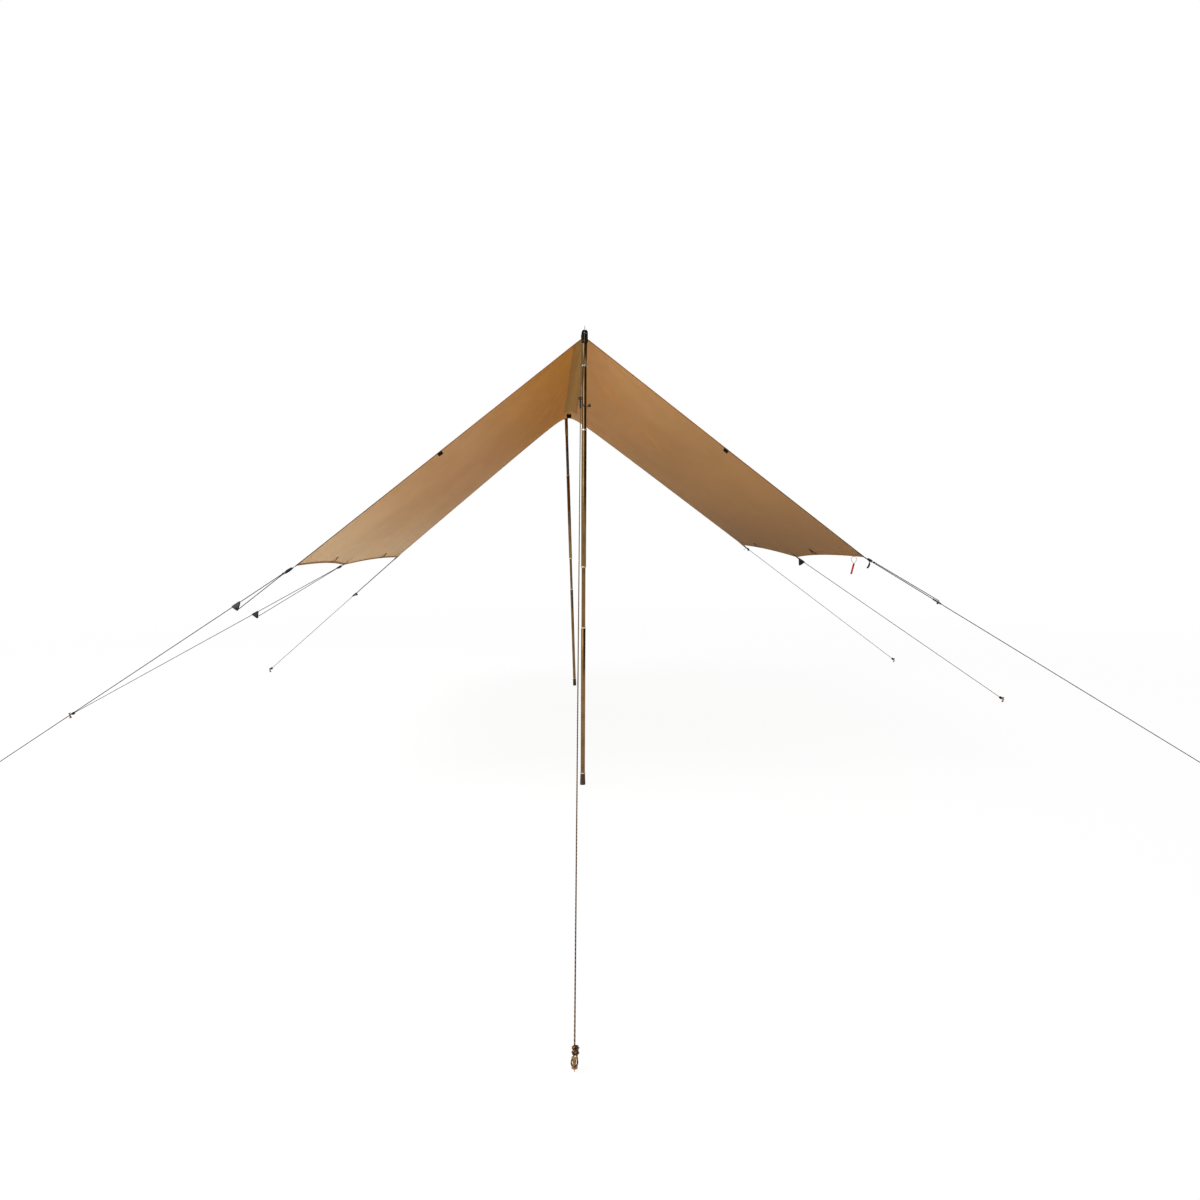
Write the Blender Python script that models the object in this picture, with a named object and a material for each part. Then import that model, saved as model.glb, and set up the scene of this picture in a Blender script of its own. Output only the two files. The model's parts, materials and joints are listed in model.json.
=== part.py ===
# Sunshade tarp pitched as an A-frame on two telescoping poles, with seven guylines and their pegs.
# Metres, +Z up. The ridge runs along Y with the front at -Y, and the ground is the plane Z = 0.

import math

import bmesh
import bpy
from mathutils import Matrix, Vector

# Tarp cloth
ridge_length = 3.0
ridge_height = 2.480  # where the two slopes would meet
half_span = 1.59  # from the ridge to a corner, level
side_pull = 0.075  # the middle of a side is drawn out this much further than its corners
corner_height = 1.25
side_height = 1.205
cloth = 0.001  # thickness that stands for the woven cloth
front_round = 0.010  # half width of the ridge's rounding at the front hem
rear_round = 0.070  # and at the rear hem, where the cloth arches over the ridge
ridge_sag = 0.015
panel_sag = 0.045
side_cut = 0.028  # how far the side hems curve in between two ties
front_cut = 0.008
crease_height = 0.006  # of the folds that run out of the ridge's ends
crease_count = 5

# How far the pitch draws each tie off its even place: across, along, up
tie_shift = {
    "left_front": (0.012, -0.003, -0.009),
    "right_front": (0.001, 0.004, 0.020),
    "left_rear": (0.050, 0.003, -0.059),
    "right_rear": (0.006, -0.005, 0.035),
    "left_side": (0.0, -0.015, -0.020),
    "right_side": (-0.019, -0.014, 0.017),
}

# What is sewn to the cloth
layer_gap = 0.0007
patch_thickness = 0.0006
ridge_strip_width = 0.110
corner_patch_leg = 0.150
side_patch_leg = 0.090
hem_margin = 0.004  # between a patch and the hem's edge
webbing = 0.0018
tie_width = 0.020
hood_tie_width = 0.012
tie_sewn = 0.045
# From the hem, or the hood, to each tie's eye
tie_reaches = {
    "front": 0.030, "left_front": 0.080, "left_side": 0.050, "left_rear": 0.030,
    "right_front": 0.058, "right_side": 0.022, "right_rear": 0.030,
}
eye_radius = 0.0038  # of the webbing's middle line round a tie's eye
edge_loop_width = 0.028
edge_loop_drop = 0.016
edge_loop_sewn = 0.024
edge_loop_inset = 0.010
hem_strap_width = 0.020
hem_strap_length = 0.066
hem_strap_inset = 0.006
hem_strap_arch = 0.007
hem_strap_places = (0.30, 0.785)  # along a side hem, from the front
hang_tab_width = 0.040
hang_tab_drop = 0.027
hang_tab_sewn = 0.016
hang_tab_from_rear = 0.20
tail_lengths = {"right_front": 0.052, "right_rear": 0.036}
tail_bulge = 0.012

# Webbing hood over each end of the ridge
hood_width = 0.080
hood_webbing = 0.0015
hood_half_gap = 0.0155  # from the middle to a leg's inner face
hood_shoulder = 0.014
hood_overhang = 0.027  # of the hood's outer edge past the pole's line
facing_width = 0.009
hood_stand = 0.0009  # of its legs over the cloth, whose slope rises toward the ridge
front_crown_rise = 0.0185  # of the hood's inner face over the ridge height
rear_crown_rise = -0.0165
hood_skirt = 0.024  # below the front hood's legs, where the cloth has ended
grommet_hole = 0.0055
grommet_flange = 0.0088
grommet_plate = 0.0007
grommet_neck = 0.0063

# Poles
pole_setback = 0.030  # pole's line outside the ridge's end
front_foot_x = -0.023
rear_top_x = -0.016
rear_foot_x = 0.046
tube_wall = 0.0010
wide_radius = 0.0140
lower_radius = 0.0125
upper_stem_radius = 0.0125
lower_stem_radius = 0.0110
stem_wall = 0.0010
ball_radius = 0.0090
spike_radius = 0.0028
spike_length = 0.042  # from the ball's middle to the point
tip_shoulder = 0.009
tip_plug = 0.040
upper_tube_end = 0.174  # from the ball's middle to the upper tube's lower end
middle_length = 0.747
lower_tube_top = 0.889
front_lower_exposed = 0.3375
rear_lower_exposed = 0.283
stem_inside = 0.100
stem_held = 0.060
collar_height = 0.008
collar_lip = 0.0009
foot_height = 0.060
foot_floor = 0.006
foot_wall = 0.0012
foot_radius = 0.0150
button_hole = 0.003
button_drop = 0.157  # from the upper tube's end to the adjusting hole's middle

# Guylines
cord_radius = 0.0022
runner_length = 0.052
runner_drop = 0.041
runner_thickness = 0.009
runner_eye_drop = 0.029
runner_rim = 0.0065  # from the bore's middle to the runner's top edge
bore_clearance = 0.0005
peg_height = 0.040
peg_blade = 0.0090
peg_waist = 0.56  # share of the blades left where the cord goes round
peg_blade_thickness = 0.0018
peg_lean = math.radians(12)
peg_loop_height = 0.0215
peg_loop_radius = 0.0080
peg_loop_length = 0.026
peg_gap = 0.0009  # between the stake and the cord round it
knot_tail = 0.010

# Each guyline: where its peg stands, how far down the line its runner sits, and how far it is rolled
guylines = {
    "front": ((-0.164, -4.075), 0.555, 0),
    "left_front": ((-3.492, -1.250), 0.315, 40),
    "left_side": ((-3.879, 0.488), 0.725, 10),
    "left_rear": ((-3.013, 2.537), 0.620, -75),
    "right_front": ((3.583, -1.810), 0.421, -80),
    "right_side": ((3.543, 0.468), 0.034, -15),
    "right_rear": ((3.519, 2.602), 0.045, -80),
}

# Pull tag on the right front hem
tag_place = 0.115  # along the front half of the side hem, from the corner
tag_cord_radius = 0.0012
tag_loop_width = 0.034
tag_loop_length = 0.042
tag_length = 0.062
tag_lean = 0.25
tag_width = 0.011
tag_thickness = 0.0016

gap = 0.0003
round_sides = 16
panel_steps = (13, 20)  # across and along


def linear(value):
    """The linear value of an 8-bit sRGB level."""
    share = value / 255
    return share / 12.92 if share <= 0.04045 else ((share + 0.055) / 1.055) ** 2.4


def new_material(name, levels, roughness, metallic=0.0):
    material = bpy.data.materials.new(name)
    material.use_nodes = True
    shader = material.node_tree.nodes["Principled BSDF"]
    shader.inputs["Base Color"].default_value = (*(linear(v) for v in levels), 1.0)
    shader.inputs["Roughness"].default_value = roughness
    shader.inputs["Metallic"].default_value = metallic
    return material


def finish(name, mesh, material, parent=None, smooth=True):
    """Puts a mesh into the scene as one sub-part, under an empty if it moves with one."""
    if smooth:
        mesh.shade_smooth()
        mesh.set_sharp_from_angle(angle=math.radians(35))
    part = bpy.data.objects.new(name, mesh)
    part.data.materials.append(material)
    part.parent = parent
    bpy.context.scene.collection.objects.link(part)
    return part


def mesh_from(build, name):
    """A mesh whose faces point out, filled by a function that gets an empty bmesh."""
    bm = bmesh.new()
    build(bm)
    bmesh.ops.recalc_face_normals(bm, faces=bm.faces)
    mesh = bpy.data.meshes.new(name)
    bm.to_mesh(mesh)
    bm.free()
    return mesh


def add_empty(name, place):
    empty = bpy.data.objects.new(name, None)
    empty.matrix_world = place
    empty.empty_display_size = 0.05
    bpy.context.scene.collection.objects.link(empty)
    return empty


def frame_at(origin, x_axis, y_axis, z_axis):
    place = Matrix((x_axis, y_axis, z_axis)).transposed().to_4x4()
    place.translation = origin
    return place


# Shapes

def add_sheet(bm, points, normals, faces, depth, thickness):
    """A closed sheet below a surface: its upper side lies depth under the points."""
    upper = [bm.verts.new(p - n * depth) for p, n in zip(points, normals)]
    lower = [bm.verts.new(p - n * (depth + thickness)) for p, n in zip(points, normals)]
    edge_uses = {}
    for face in faces:
        bm.faces.new([upper[i] for i in face])
        bm.faces.new([lower[i] for i in reversed(face)])
        for a, b in zip(face, face[1:] + face[:1]):
            edge_uses.setdefault(frozenset((a, b)), []).append((a, b))
    for uses in edge_uses.values():
        if len(uses) == 1:
            a, b = uses[0]
            bm.faces.new([upper[b], upper[a], lower[a], lower[b]])


def add_strap(bm, path, across, width, thickness):
    """A flat strap along a path. Its width runs along one direction, or along one for each point."""
    ways = across if isinstance(across, list) else [across] * len(path)
    rings = []
    for i, (point, way) in enumerate(zip(path, ways)):
        before = path[max(i - 1, 0)]
        after = path[min(i + 1, len(path) - 1)]
        up = way.cross((after - before).normalized()).normalized() * thickness / 2
        side = way.normalized() * width / 2
        corners = (point - side - up, point + side - up, point + side + up, point - side + up)
        rings.append([bm.verts.new(c) for c in corners])
    for a, b in zip(rings, rings[1:]):
        for k in range(4):
            bm.faces.new([a[k], a[(k + 1) % 4], b[(k + 1) % 4], b[k]])
    bm.faces.new(rings[0])
    bm.faces.new(list(reversed(rings[-1])))


def add_turned(bm, profile, closed=False, sides=round_sides):
    """A body turned about Z from (radius, height) points. A closed profile makes a ring or a tube."""
    rings = []
    for radius, height in profile:
        count = sides if radius > 0 else 1
        turns = [2 * math.pi * k / sides for k in range(count)]
        rings.append([bm.verts.new((radius * math.cos(t), radius * math.sin(t), height)) for t in turns])
    pairs = list(zip(rings, rings[1:]))
    if closed:
        pairs.append((rings[-1], rings[0]))
    for a, b in pairs:
        for k in range(sides):
            corners = [a[k % len(a)], a[(k + 1) % len(a)], b[(k + 1) % len(b)], b[k % len(b)]]
            bm.faces.new(list(dict.fromkeys(corners)))


def tube_profile(outer, inner, low, high):
    return [(outer, low), (outer, high), (inner, high), (inner, low)]


def smooth_route(points, spacing):
    """Points along a smooth curve through the route's own points, about a spacing apart where it bends."""
    route = [points[0] * 2 - points[1], *points, points[-1] * 2 - points[-2]]
    made = [points[0]]
    for p0, p1, p2, p3 in zip(route, route[1:], route[2:], route[3:]):
        bend = (p1 - p0).angle(p2 - p1, 0.0) + (p2 - p1).angle(p3 - p2, 0.0)
        steps = max(1, min(round((p2 - p1).length / spacing), math.ceil(bend / 0.45)))
        # Tangents are limited by the shorter neighbour, so a long straight stretch stays straight.
        t1 = (p2 - p0).normalized() * min((p1 - p0).length, (p2 - p1).length)
        t2 = (p3 - p1).normalized() * min((p2 - p1).length, (p3 - p2).length)
        for k in range(1, steps + 1):
            t = k / steps
            h00, h10 = 2 * t**3 - 3 * t**2 + 1, t**3 - 2 * t**2 + t
            h01, h11 = 3 * t**2 - 2 * t**3, t**3 - t**2
            made.append(p1 * h00 + t1 * h10 + p2 * h01 + t2 * h11)
    return made


def add_cord(name, route, radius, material):
    """A round cord with filled caps."""
    curve = bpy.data.curves.new(name, "CURVE")
    curve.dimensions = "3D"
    curve.bevel_depth = radius
    curve.bevel_resolution = 2
    curve.use_fill_caps = True
    points = smooth_route(route, radius * 3.2)
    spline = curve.splines.new("POLY")
    spline.points.add(len(points) - 1)
    for slot, point in zip(spline.points, points):
        slot.co = (*point, 1.0)
    cord = bpy.data.objects.new(name, curve)
    curve.materials.append(material)
    bpy.context.scene.collection.objects.link(cord)
    return cord


def combine(part, operation, name, build, place=None):
    """Cuts a hidden shape out of a part, or joins it on."""
    tool = finish(name, mesh_from(build, name), part.data.materials[0], smooth=False)
    if place:
        tool.matrix_world = place
    tool.hide_render = True
    tool.display_type = "WIRE"
    boolean = part.modifiers.new(name, "BOOLEAN")
    boolean.operation = operation
    boolean.solver = "EXACT"
    boolean.object = tool


def cut(part, name, build, place):
    combine(part, "DIFFERENCE", name, build, place)


def join(part, name, build):
    combine(part, "UNION", name, build)


# The cloth's surface

def side_of(name):
    return -1 if name.startswith("left") else 1


def tie_point(name):
    side = side_of(name)
    along = {"front": -0.5, "rear": 0.5, "side": 0.0}[name.split("_")[1]] * ridge_length
    out = half_span + (side_pull if name.endswith("side") else 0.0)
    height = side_height if name.endswith("side") else corner_height
    return Vector((side * out, along, height)) + Vector(tie_shift[name])


def ridge_point(along):
    sag = ridge_sag * 4 * along * (1 - along)
    return Vector((0.0, ridge_length * (along - 0.5), ridge_height - sag))


def hem_point(side, along):
    """A point of a side hem, which curves in between its three ties."""
    prefix = "left" if side < 0 else "right"
    front, middle, rear = (tie_point(f"{prefix}_{end}") for end in ("front", "side", "rear"))
    start, stop, share = (front, middle, along * 2) if along < 0.5 else (middle, rear, along * 2 - 1)
    inward = (ridge_point(along) - middle).normalized()
    return start.lerp(stop, share) + inward * side_cut * 4 * share * (1 - share)


def crease(across, distance, turn):
    """Height of the folds that run out of a ridge end, fading with distance from it."""
    fan = math.cos(turn * 2 * crease_count)
    return crease_height * fan * math.exp(-((distance - 0.42) / 0.34) ** 2) * min(1.0, across * 6)


def cloth_point(side, across, along):
    """The cloth's upper surface: across runs from the ridge to the hem, along from front to rear."""
    ridge, hem = ridge_point(along), hem_point(side, along)
    point = ridge.lerp(hem, across)
    bow = 4 * across * (1 - across)
    point.y += front_cut * bow * (1 - along) ** 4
    point.z -= panel_sag * bow * 4 * along * (1 - along)
    hems = [hem_point(way, along) for way in (-1, 1)]
    slope = sum((ridge.z - h.z) / abs(h.x) for h in hems) / 2
    rounding = front_round + (rear_round - front_round) * along**1.5
    point.z -= slope * (math.hypot(point.x, rounding) - abs(point.x))
    for end in (0.0, 1.0):
        reach = abs(along - end) * ridge_length
        distance = math.hypot(across * half_span * 1.25, reach)
        point.z += crease(across, distance, math.atan2(reach, across * half_span)) * min(1.0, reach * 8)
    return point


def cloth_normal(side, across, along):
    step = 0.002
    low_a, high_a = max(across - step, 0.0), min(across + step, 1.0)
    low_b, high_b = max(along - step, 0.0), min(along + step, 1.0)
    if across <= step:
        return Vector((0.0, 0.0, 1.0))
    over = cloth_point(side, high_a, along) - cloth_point(side, low_a, along)
    down = cloth_point(side, across, high_b) - cloth_point(side, across, low_b)
    normal = over.cross(down).normalized()
    return normal if normal.z > 0 else -normal


def panel_shares():
    """Where the grid's lines run, from the ridge to the hem and from front to rear."""
    columns, rows = panel_steps
    inset = gap / half_span
    across = [inset + (1 - inset) * (i / columns) ** 1.6 for i in range(columns + 1)]
    return across, [j / rows for j in range(rows + 1)]


def panel_grid(side):
    """The grid's points and normals, column by column, with the two slopes a hair apart at the ridge."""
    across_shares, along_shares = panel_shares()
    places = [(u, v) for u in across_shares for v in along_shares]
    return [cloth_point(side, u, v) for u, v in places], [cloth_normal(side, u, v) for u, v in places]


def grid_triangles(columns, rows):
    """Triangles of a grid whose points run column by column, all cut along the same diagonal."""
    faces = []
    for i in range(columns):
        for j in range(rows):
            a, b = i * (rows + 1) + j, (i + 1) * (rows + 1) + j
            faces += [[a, b, b + 1], [a, b + 1, a + 1]]
    return faces


def under(grids, point, depth):
    """The place below the cloth's faces that lies straight under or over a point, at a depth in the cloth."""
    side = -1 if point.x < 0 else 1
    points, normals = grids[side]
    across_shares, along_shares = panel_shares()
    rows = panel_steps[1]
    along = min(max(0.5 + point.y / ridge_length, 0.0), 1.0)
    across = min(max(abs(point.x) / abs(hem_point(side, along).x), across_shares[0]), 1.0)
    i = max(k for k, share in enumerate(across_shares[:-1]) if share <= across)
    j = max(k for k, share in enumerate(along_shares[:-1]) if share <= along)
    s = (across - across_shares[i]) / (across_shares[i + 1] - across_shares[i])
    t = (along - along_shares[j]) / (along_shares[j + 1] - along_shares[j])
    a, b = i * (rows + 1) + j, (i + 1) * (rows + 1) + j
    if s >= t:
        weights = ((a, 1 - s), (b, s - t), (b + 1, t))
    else:
        weights = ((a, 1 - t), (a + 1, t - s), (b + 1, s))
    place = sum((points[k] * w for k, w in weights), Vector())
    normal = sum((normals[k] * w for k, w in weights), Vector())
    return place - normal * depth


# Tarp pieces

def make_panel(name, grid, material):
    faces = grid_triangles(*panel_steps)
    mesh = mesh_from(lambda bm: add_sheet(bm, *grid, faces, 0.0, cloth), name)
    return finish(name, mesh, material)


def add_patch(bm, grids, places, faces, depth, thickness):
    """A layer under the cloth that follows its faces."""
    upper = [under(grids, p, depth) for p in places]
    lower = [under(grids, p, depth + thickness) for p in places]
    normals = [(a - b) / thickness for a, b in zip(upper, lower)]
    add_sheet(bm, upper, normals, faces, 0.0, thickness)


def make_ridge_strip(grids, material):
    """The doubled strip under the ridge, with the hang loop sewn on."""
    across_shares, along_shares = panel_shares()
    inner = [share for share in across_shares[1:] if share * half_span < ridge_strip_width / 2 - 0.008]
    end = hem_margin / ridge_length
    shares = [end, *along_shares[1:-1], 1 - end]
    places, faces = [], []
    for side in (-1, 0, 1):
        columns = list(range(len(inner) + 1)) if side else [0]
        for i in reversed(columns) if side < 0 else columns:
            for v in shares:
                edge = abs(hem_point(side or 1, v).x)
                x = inner[i] * edge if i < len(inner) else ridge_strip_width / 2
                places.append(Vector((x * side, (v - 0.5) * ridge_length, 0.0)))
    rows = len(shares)
    for i in range(2 * len(inner) + 2):
        for j in range(rows - 1):
            a, b = i * rows + j, (i + 1) * rows + j
            if i <= len(inner):
                faces += [[a, b, a + 1], [b, b + 1, a + 1]]
            else:
                faces += [[a, b, b + 1], [a, b + 1, a + 1]]
    depth = cloth + layer_gap
    mesh = mesh_from(lambda bm: add_patch(bm, grids, places, faces, depth, patch_thickness), "strip")
    strip = finish("ridge_strip", mesh, material)

    # The tab lies flat across the arched ridge, so it meets the strip at its two edges.
    y = ridge_length / 2 - hang_tab_from_rear
    tab_depth = depth + patch_thickness / 2 + webbing / 2
    path = []
    for share in (1.0, 0.5, 0.0):
        edges = [Vector((x * hang_tab_width, y - hang_tab_sewn * share, 0.0)) for x in (-0.5, 0.5)]
        path.append(Vector((0.0, edges[0].y, min(under(grids, edge, tab_depth).z for edge in edges))))
    top = path.pop()
    fold = webbing + gap
    for back, drop in ((0.0, 0.0022), (0.0012, 0.0060), (0.0012, hang_tab_drop - 0.0022),
                       (0.0012 + fold / 2, hang_tab_drop), (0.0012 + fold, hang_tab_drop - 0.0022),
                       (0.0012 + fold, 0.0050)):
        path.append(top + Vector((0.0, back, -drop)))
    join(strip, "ridge_hang_tab", lambda bm: add_strap(bm, path, Vector((1, 0, 0)), hang_tab_width, webbing))


def add_hem_patch(bm, grids, start, along_hem, inward, leg, halves):
    """A three-cornered patch under the hem, with a leg to each side of the tie that halves names."""
    steps = 3
    shift = hem_margin if len(halves) == 1 else 0.0
    places, index, faces = [], {}, []
    for direction in halves:
        for i in range(steps + 1):
            for j in range(steps + 1 - i):
                if (i, direction * j) in index:
                    continue
                index[i, direction * j] = len(places)
                along = along_hem * direction * (shift + (leg - shift) * j / steps)
                places.append(start + inward * (hem_margin + leg * i / steps) + along)
        for i in range(steps):
            for j in range(steps - i):
                near, far = index[i, direction * j], index[i, direction * (j + 1)]
                inner = index[i + 1, direction * j]
                faces.append([near, inner, far][::direction])
                if j < steps - i - 1:
                    faces.append([inner, index[i + 1, direction * (j + 1)], far][::direction])
    add_patch(bm, grids, places, faces, cloth + layer_gap, patch_thickness)


def loop_path(grids, start, normal, outward, sewn, reach, depth):
    """The middle line of webbing that is sewn under the cloth, runs out past the hem and folds back."""
    tangent = (outward - normal * normal.dot(outward)).normalized()
    lift = outward.cross(normal.cross(outward)).normalized()
    eye = start + outward * reach
    path = [under(grids, start - tangent * (sewn - (sewn - 0.004) * k / 3), depth) for k in range(4)]
    path.append(start + outward * 0.005 - normal * depth)
    for k in range(6):
        turn = math.pi * (k / 5 - 0.5)
        path.append(eye + outward * eye_radius * math.cos(turn) + lift * eye_radius * math.sin(turn))
    level = webbing + gap - depth
    path += [start + outward * (reach * share) + lift * level for share in (0.62, 0.30)]
    return path


def make_edge_loops(grids, material):
    """Two loops that hang under the front hem, and two straps on each side hem that stand off in an arch."""
    depth = cloth + layer_gap + webbing / 2
    for side, word in ((-1, "left"), (1, "right")):
        place = Vector((side * half_span / 2, edge_loop_inset - ridge_length / 2, 0.0))
        start = under(grids, place, 0.0)
        normal = cloth_normal(side, 0.5, 0.004)
        outward = (Vector((0.0, -1.0, 0.0)) + normal * normal.y).normalized()
        path = [under(grids, start - outward * edge_loop_sewn * share, depth) for share in (1.0, 0.6, 0.25)]
        back = 2 * webbing
        for ahead, drop in ((0.0002, 0.0008), (0.0022, 0.0032), (0.0026, 0.0065), (0.0026, edge_loop_drop - 0.003),
                            (0.0014, edge_loop_drop - 0.0006), (0.0026 - back / 2 - 0.0015, edge_loop_drop),
                            (-back + 0.0008, edge_loop_drop - 0.0012), (-back - 0.0004, edge_loop_drop - 0.0035),
                            (-back - 0.0004, 0.0045)):
            path.append(start + outward * ahead - normal * (depth + drop))
        add_webbing(f"{word}_front_edge_loop", path, normal.cross(outward), edge_loop_width, material)
        for along, place in zip(hem_strap_places, ("front", "rear")):
            start = cloth_point(side, 1.0, along)
            normal = cloth_normal(side, 0.999, along)
            outward = (start - cloth_point(side, 0.96, along)).normalized()
            path = []
            for k in range(11):
                inward = hem_strap_inset + hem_strap_length * k / 10
                arch = hem_strap_arch * math.sin(math.pi * min(max((k - 1.5) / 7, 0.0), 1.0))
                path.append(under(grids, start - outward * inward, depth + arch))
            add_webbing(f"{word}_{place}_hem_loop", path, normal.cross(outward), hem_strap_width, material)


def add_webbing(name, path, across, width, material):
    mesh = mesh_from(lambda bm: add_strap(bm, path, across, width, webbing), name)
    return finish(name, mesh, material)


def hood_path(crown, leg_ends):
    """The hood's middle line, from the left leg's lower end over the crown to the right leg's."""
    leg = hood_half_gap + hood_webbing / 2
    top = crown + hood_webbing / 2
    flat = grommet_flange + 2 * gap
    half = [(leg, top - hood_shoulder), (leg - 0.0008, top - hood_shoulder * 0.68), (flat + 0.0020, top - 0.0014),
            (flat, top)]
    arch = [(-x, z) for x, z in half] + [(x, z) for x, z in reversed(half)]
    return [(-leg, leg_ends[0]), *arch, (leg, leg_ends[1])]


def make_hood(name, grids, crown, end, pole_y, material):
    """Webbing folded over one end of the ridge, standing on the cloth, with a hole for its grommet."""
    edge = end * ridge_length / 2
    middle = edge + end * (pole_setback + hood_overhang) - end * hood_width / 2
    leg_ends = []
    for way in (-1, 1):
        x = top_x(end) + way * (hood_half_gap + hood_webbing / 2)
        below = [under(grids, Vector((x, y, 0.0)), 0.0).z for y in (edge, middle - end * hood_width / 2)]
        leg_ends.append(max(below) + hood_stand)
    path = [Vector((top_x(end) + x, middle, z)) for x, z in hood_path(crown, leg_ends)]
    mesh = mesh_from(lambda bm: add_strap(bm, path, Vector((0, 1, 0)), hood_width, hood_webbing), name)
    hood = finish(name, mesh, material)
    if end < 0:
        front = middle + end * hood_width / 2
        width = abs(edge - front) - 0.004
        for way, low in zip((-1, 1), leg_ends):
            x = top_x(end) + way * (hood_half_gap + hood_webbing / 2)
            flap = [Vector((x, front - end * width / 2, z)) for z in (low + 0.004, low - hood_skirt)]
            join(hood, f"{name}_skirt", lambda bm, flap=flap, width=width: add_strap(
                bm, flap, Vector((0, 1, 0)), width - 0.0002, hood_webbing - 0.0002))
        x = hood_half_gap + hood_webbing - 0.0004 - facing_width / 2
        face_y = front + hood_webbing / 2 + 0.0002
        facing = [Vector((x, face_y, z)) for z in (crown - hood_shoulder * 0.8, leg_ends[1] - hood_skirt + 0.001)]
        join(hood, f"{name}_facing", lambda bm: add_strap(bm, facing, Vector((1, 0, 0)), facing_width, hood_webbing))
    hole = grommet_neck + gap
    place = Matrix.Translation((top_x(end), pole_y, crown + hood_webbing / 2))
    cut(hood, name + "_hole", lambda bm: add_turned(bm, [(0, -0.004), (hole, -0.004), (hole, 0.004), (0, 0.004)]),
        place)
    return hood


def top_x(end):
    return rear_top_x if end > 0 else 0.0


def add_grommet(bm):
    """A rolled eyelet whose two flanges hold the webbing, about the webbing's middle."""
    inside = hood_webbing / 2 + gap
    outside = inside + grommet_plate
    profile = [
        (grommet_hole, -outside), (grommet_flange, -outside), (grommet_flange, -inside), (grommet_neck, -inside),
        (grommet_neck, inside), (grommet_flange, inside), (grommet_flange, outside), (grommet_hole, outside),
    ]
    add_turned(bm, profile, closed=True)


# Poles

def pivot_of(crown):
    """Height of the ball's middle: the ball sits in the grommet's lower edge."""
    below = math.sqrt((ball_radius + gap) ** 2 - grommet_hole**2)
    return crown - gap - grommet_plate - below


def tip_profile():
    """Spike, ball, shoulder and plug, with the height measured from the ball's middle."""
    start = math.asin(spike_radius / ball_radius)
    stop = math.radians(128)
    arc = [start + (stop - start) * k / 7 for k in range(8)]
    ball = [(ball_radius * math.sin(a), ball_radius * math.cos(a)) for a in arc]
    plug = wide_radius - tube_wall - gap
    return [
        (0, spike_length), (0.0008, spike_length - 0.0006), (spike_radius, spike_length * 0.62),
        *ball,
        (wide_radius - 0.0015, -tip_shoulder), (wide_radius, -tip_shoulder - 0.0015),
        (wide_radius, -tip_shoulder - 0.005), (plug, -tip_shoulder - 0.005), (plug, -tip_plug), (0, -tip_plug),
    ]


def stem_profile(stem_radius, wall, tube_radius, low, at):
    """A stem fixed in a tube's lower end, with the pressed-on collar that closes the tube there."""
    bore = tube_radius - tube_wall - gap
    outer = tube_radius + collar_lip
    high = at + stem_held
    return [
        (stem_radius, low), (stem_radius, at - collar_height / 2), (outer, at - collar_height / 2),
        (outer, at + collar_height / 2), (tube_radius + gap, at + collar_height / 2),
        (tube_radius + gap, at - gap), (bore, at - gap), (bore, at + 0.015), (stem_radius, at + 0.015),
        (stem_radius, high), (stem_radius - wall, high), (stem_radius - wall, low),
    ]


def mouth_collar(tube_radius, stem_radius, at):
    """A collar over a tube's upper mouth, with the stem running through it."""
    outer = tube_radius + collar_lip
    return [
        (tube_radius + gap, at - collar_height / 2), (outer, at - collar_height / 2),
        (outer, at + collar_height / 2), (stem_radius + 2 * gap, at + collar_height / 2),
        (stem_radius + 2 * gap, at + gap), (tube_radius + gap, at + gap),
    ]


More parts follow.
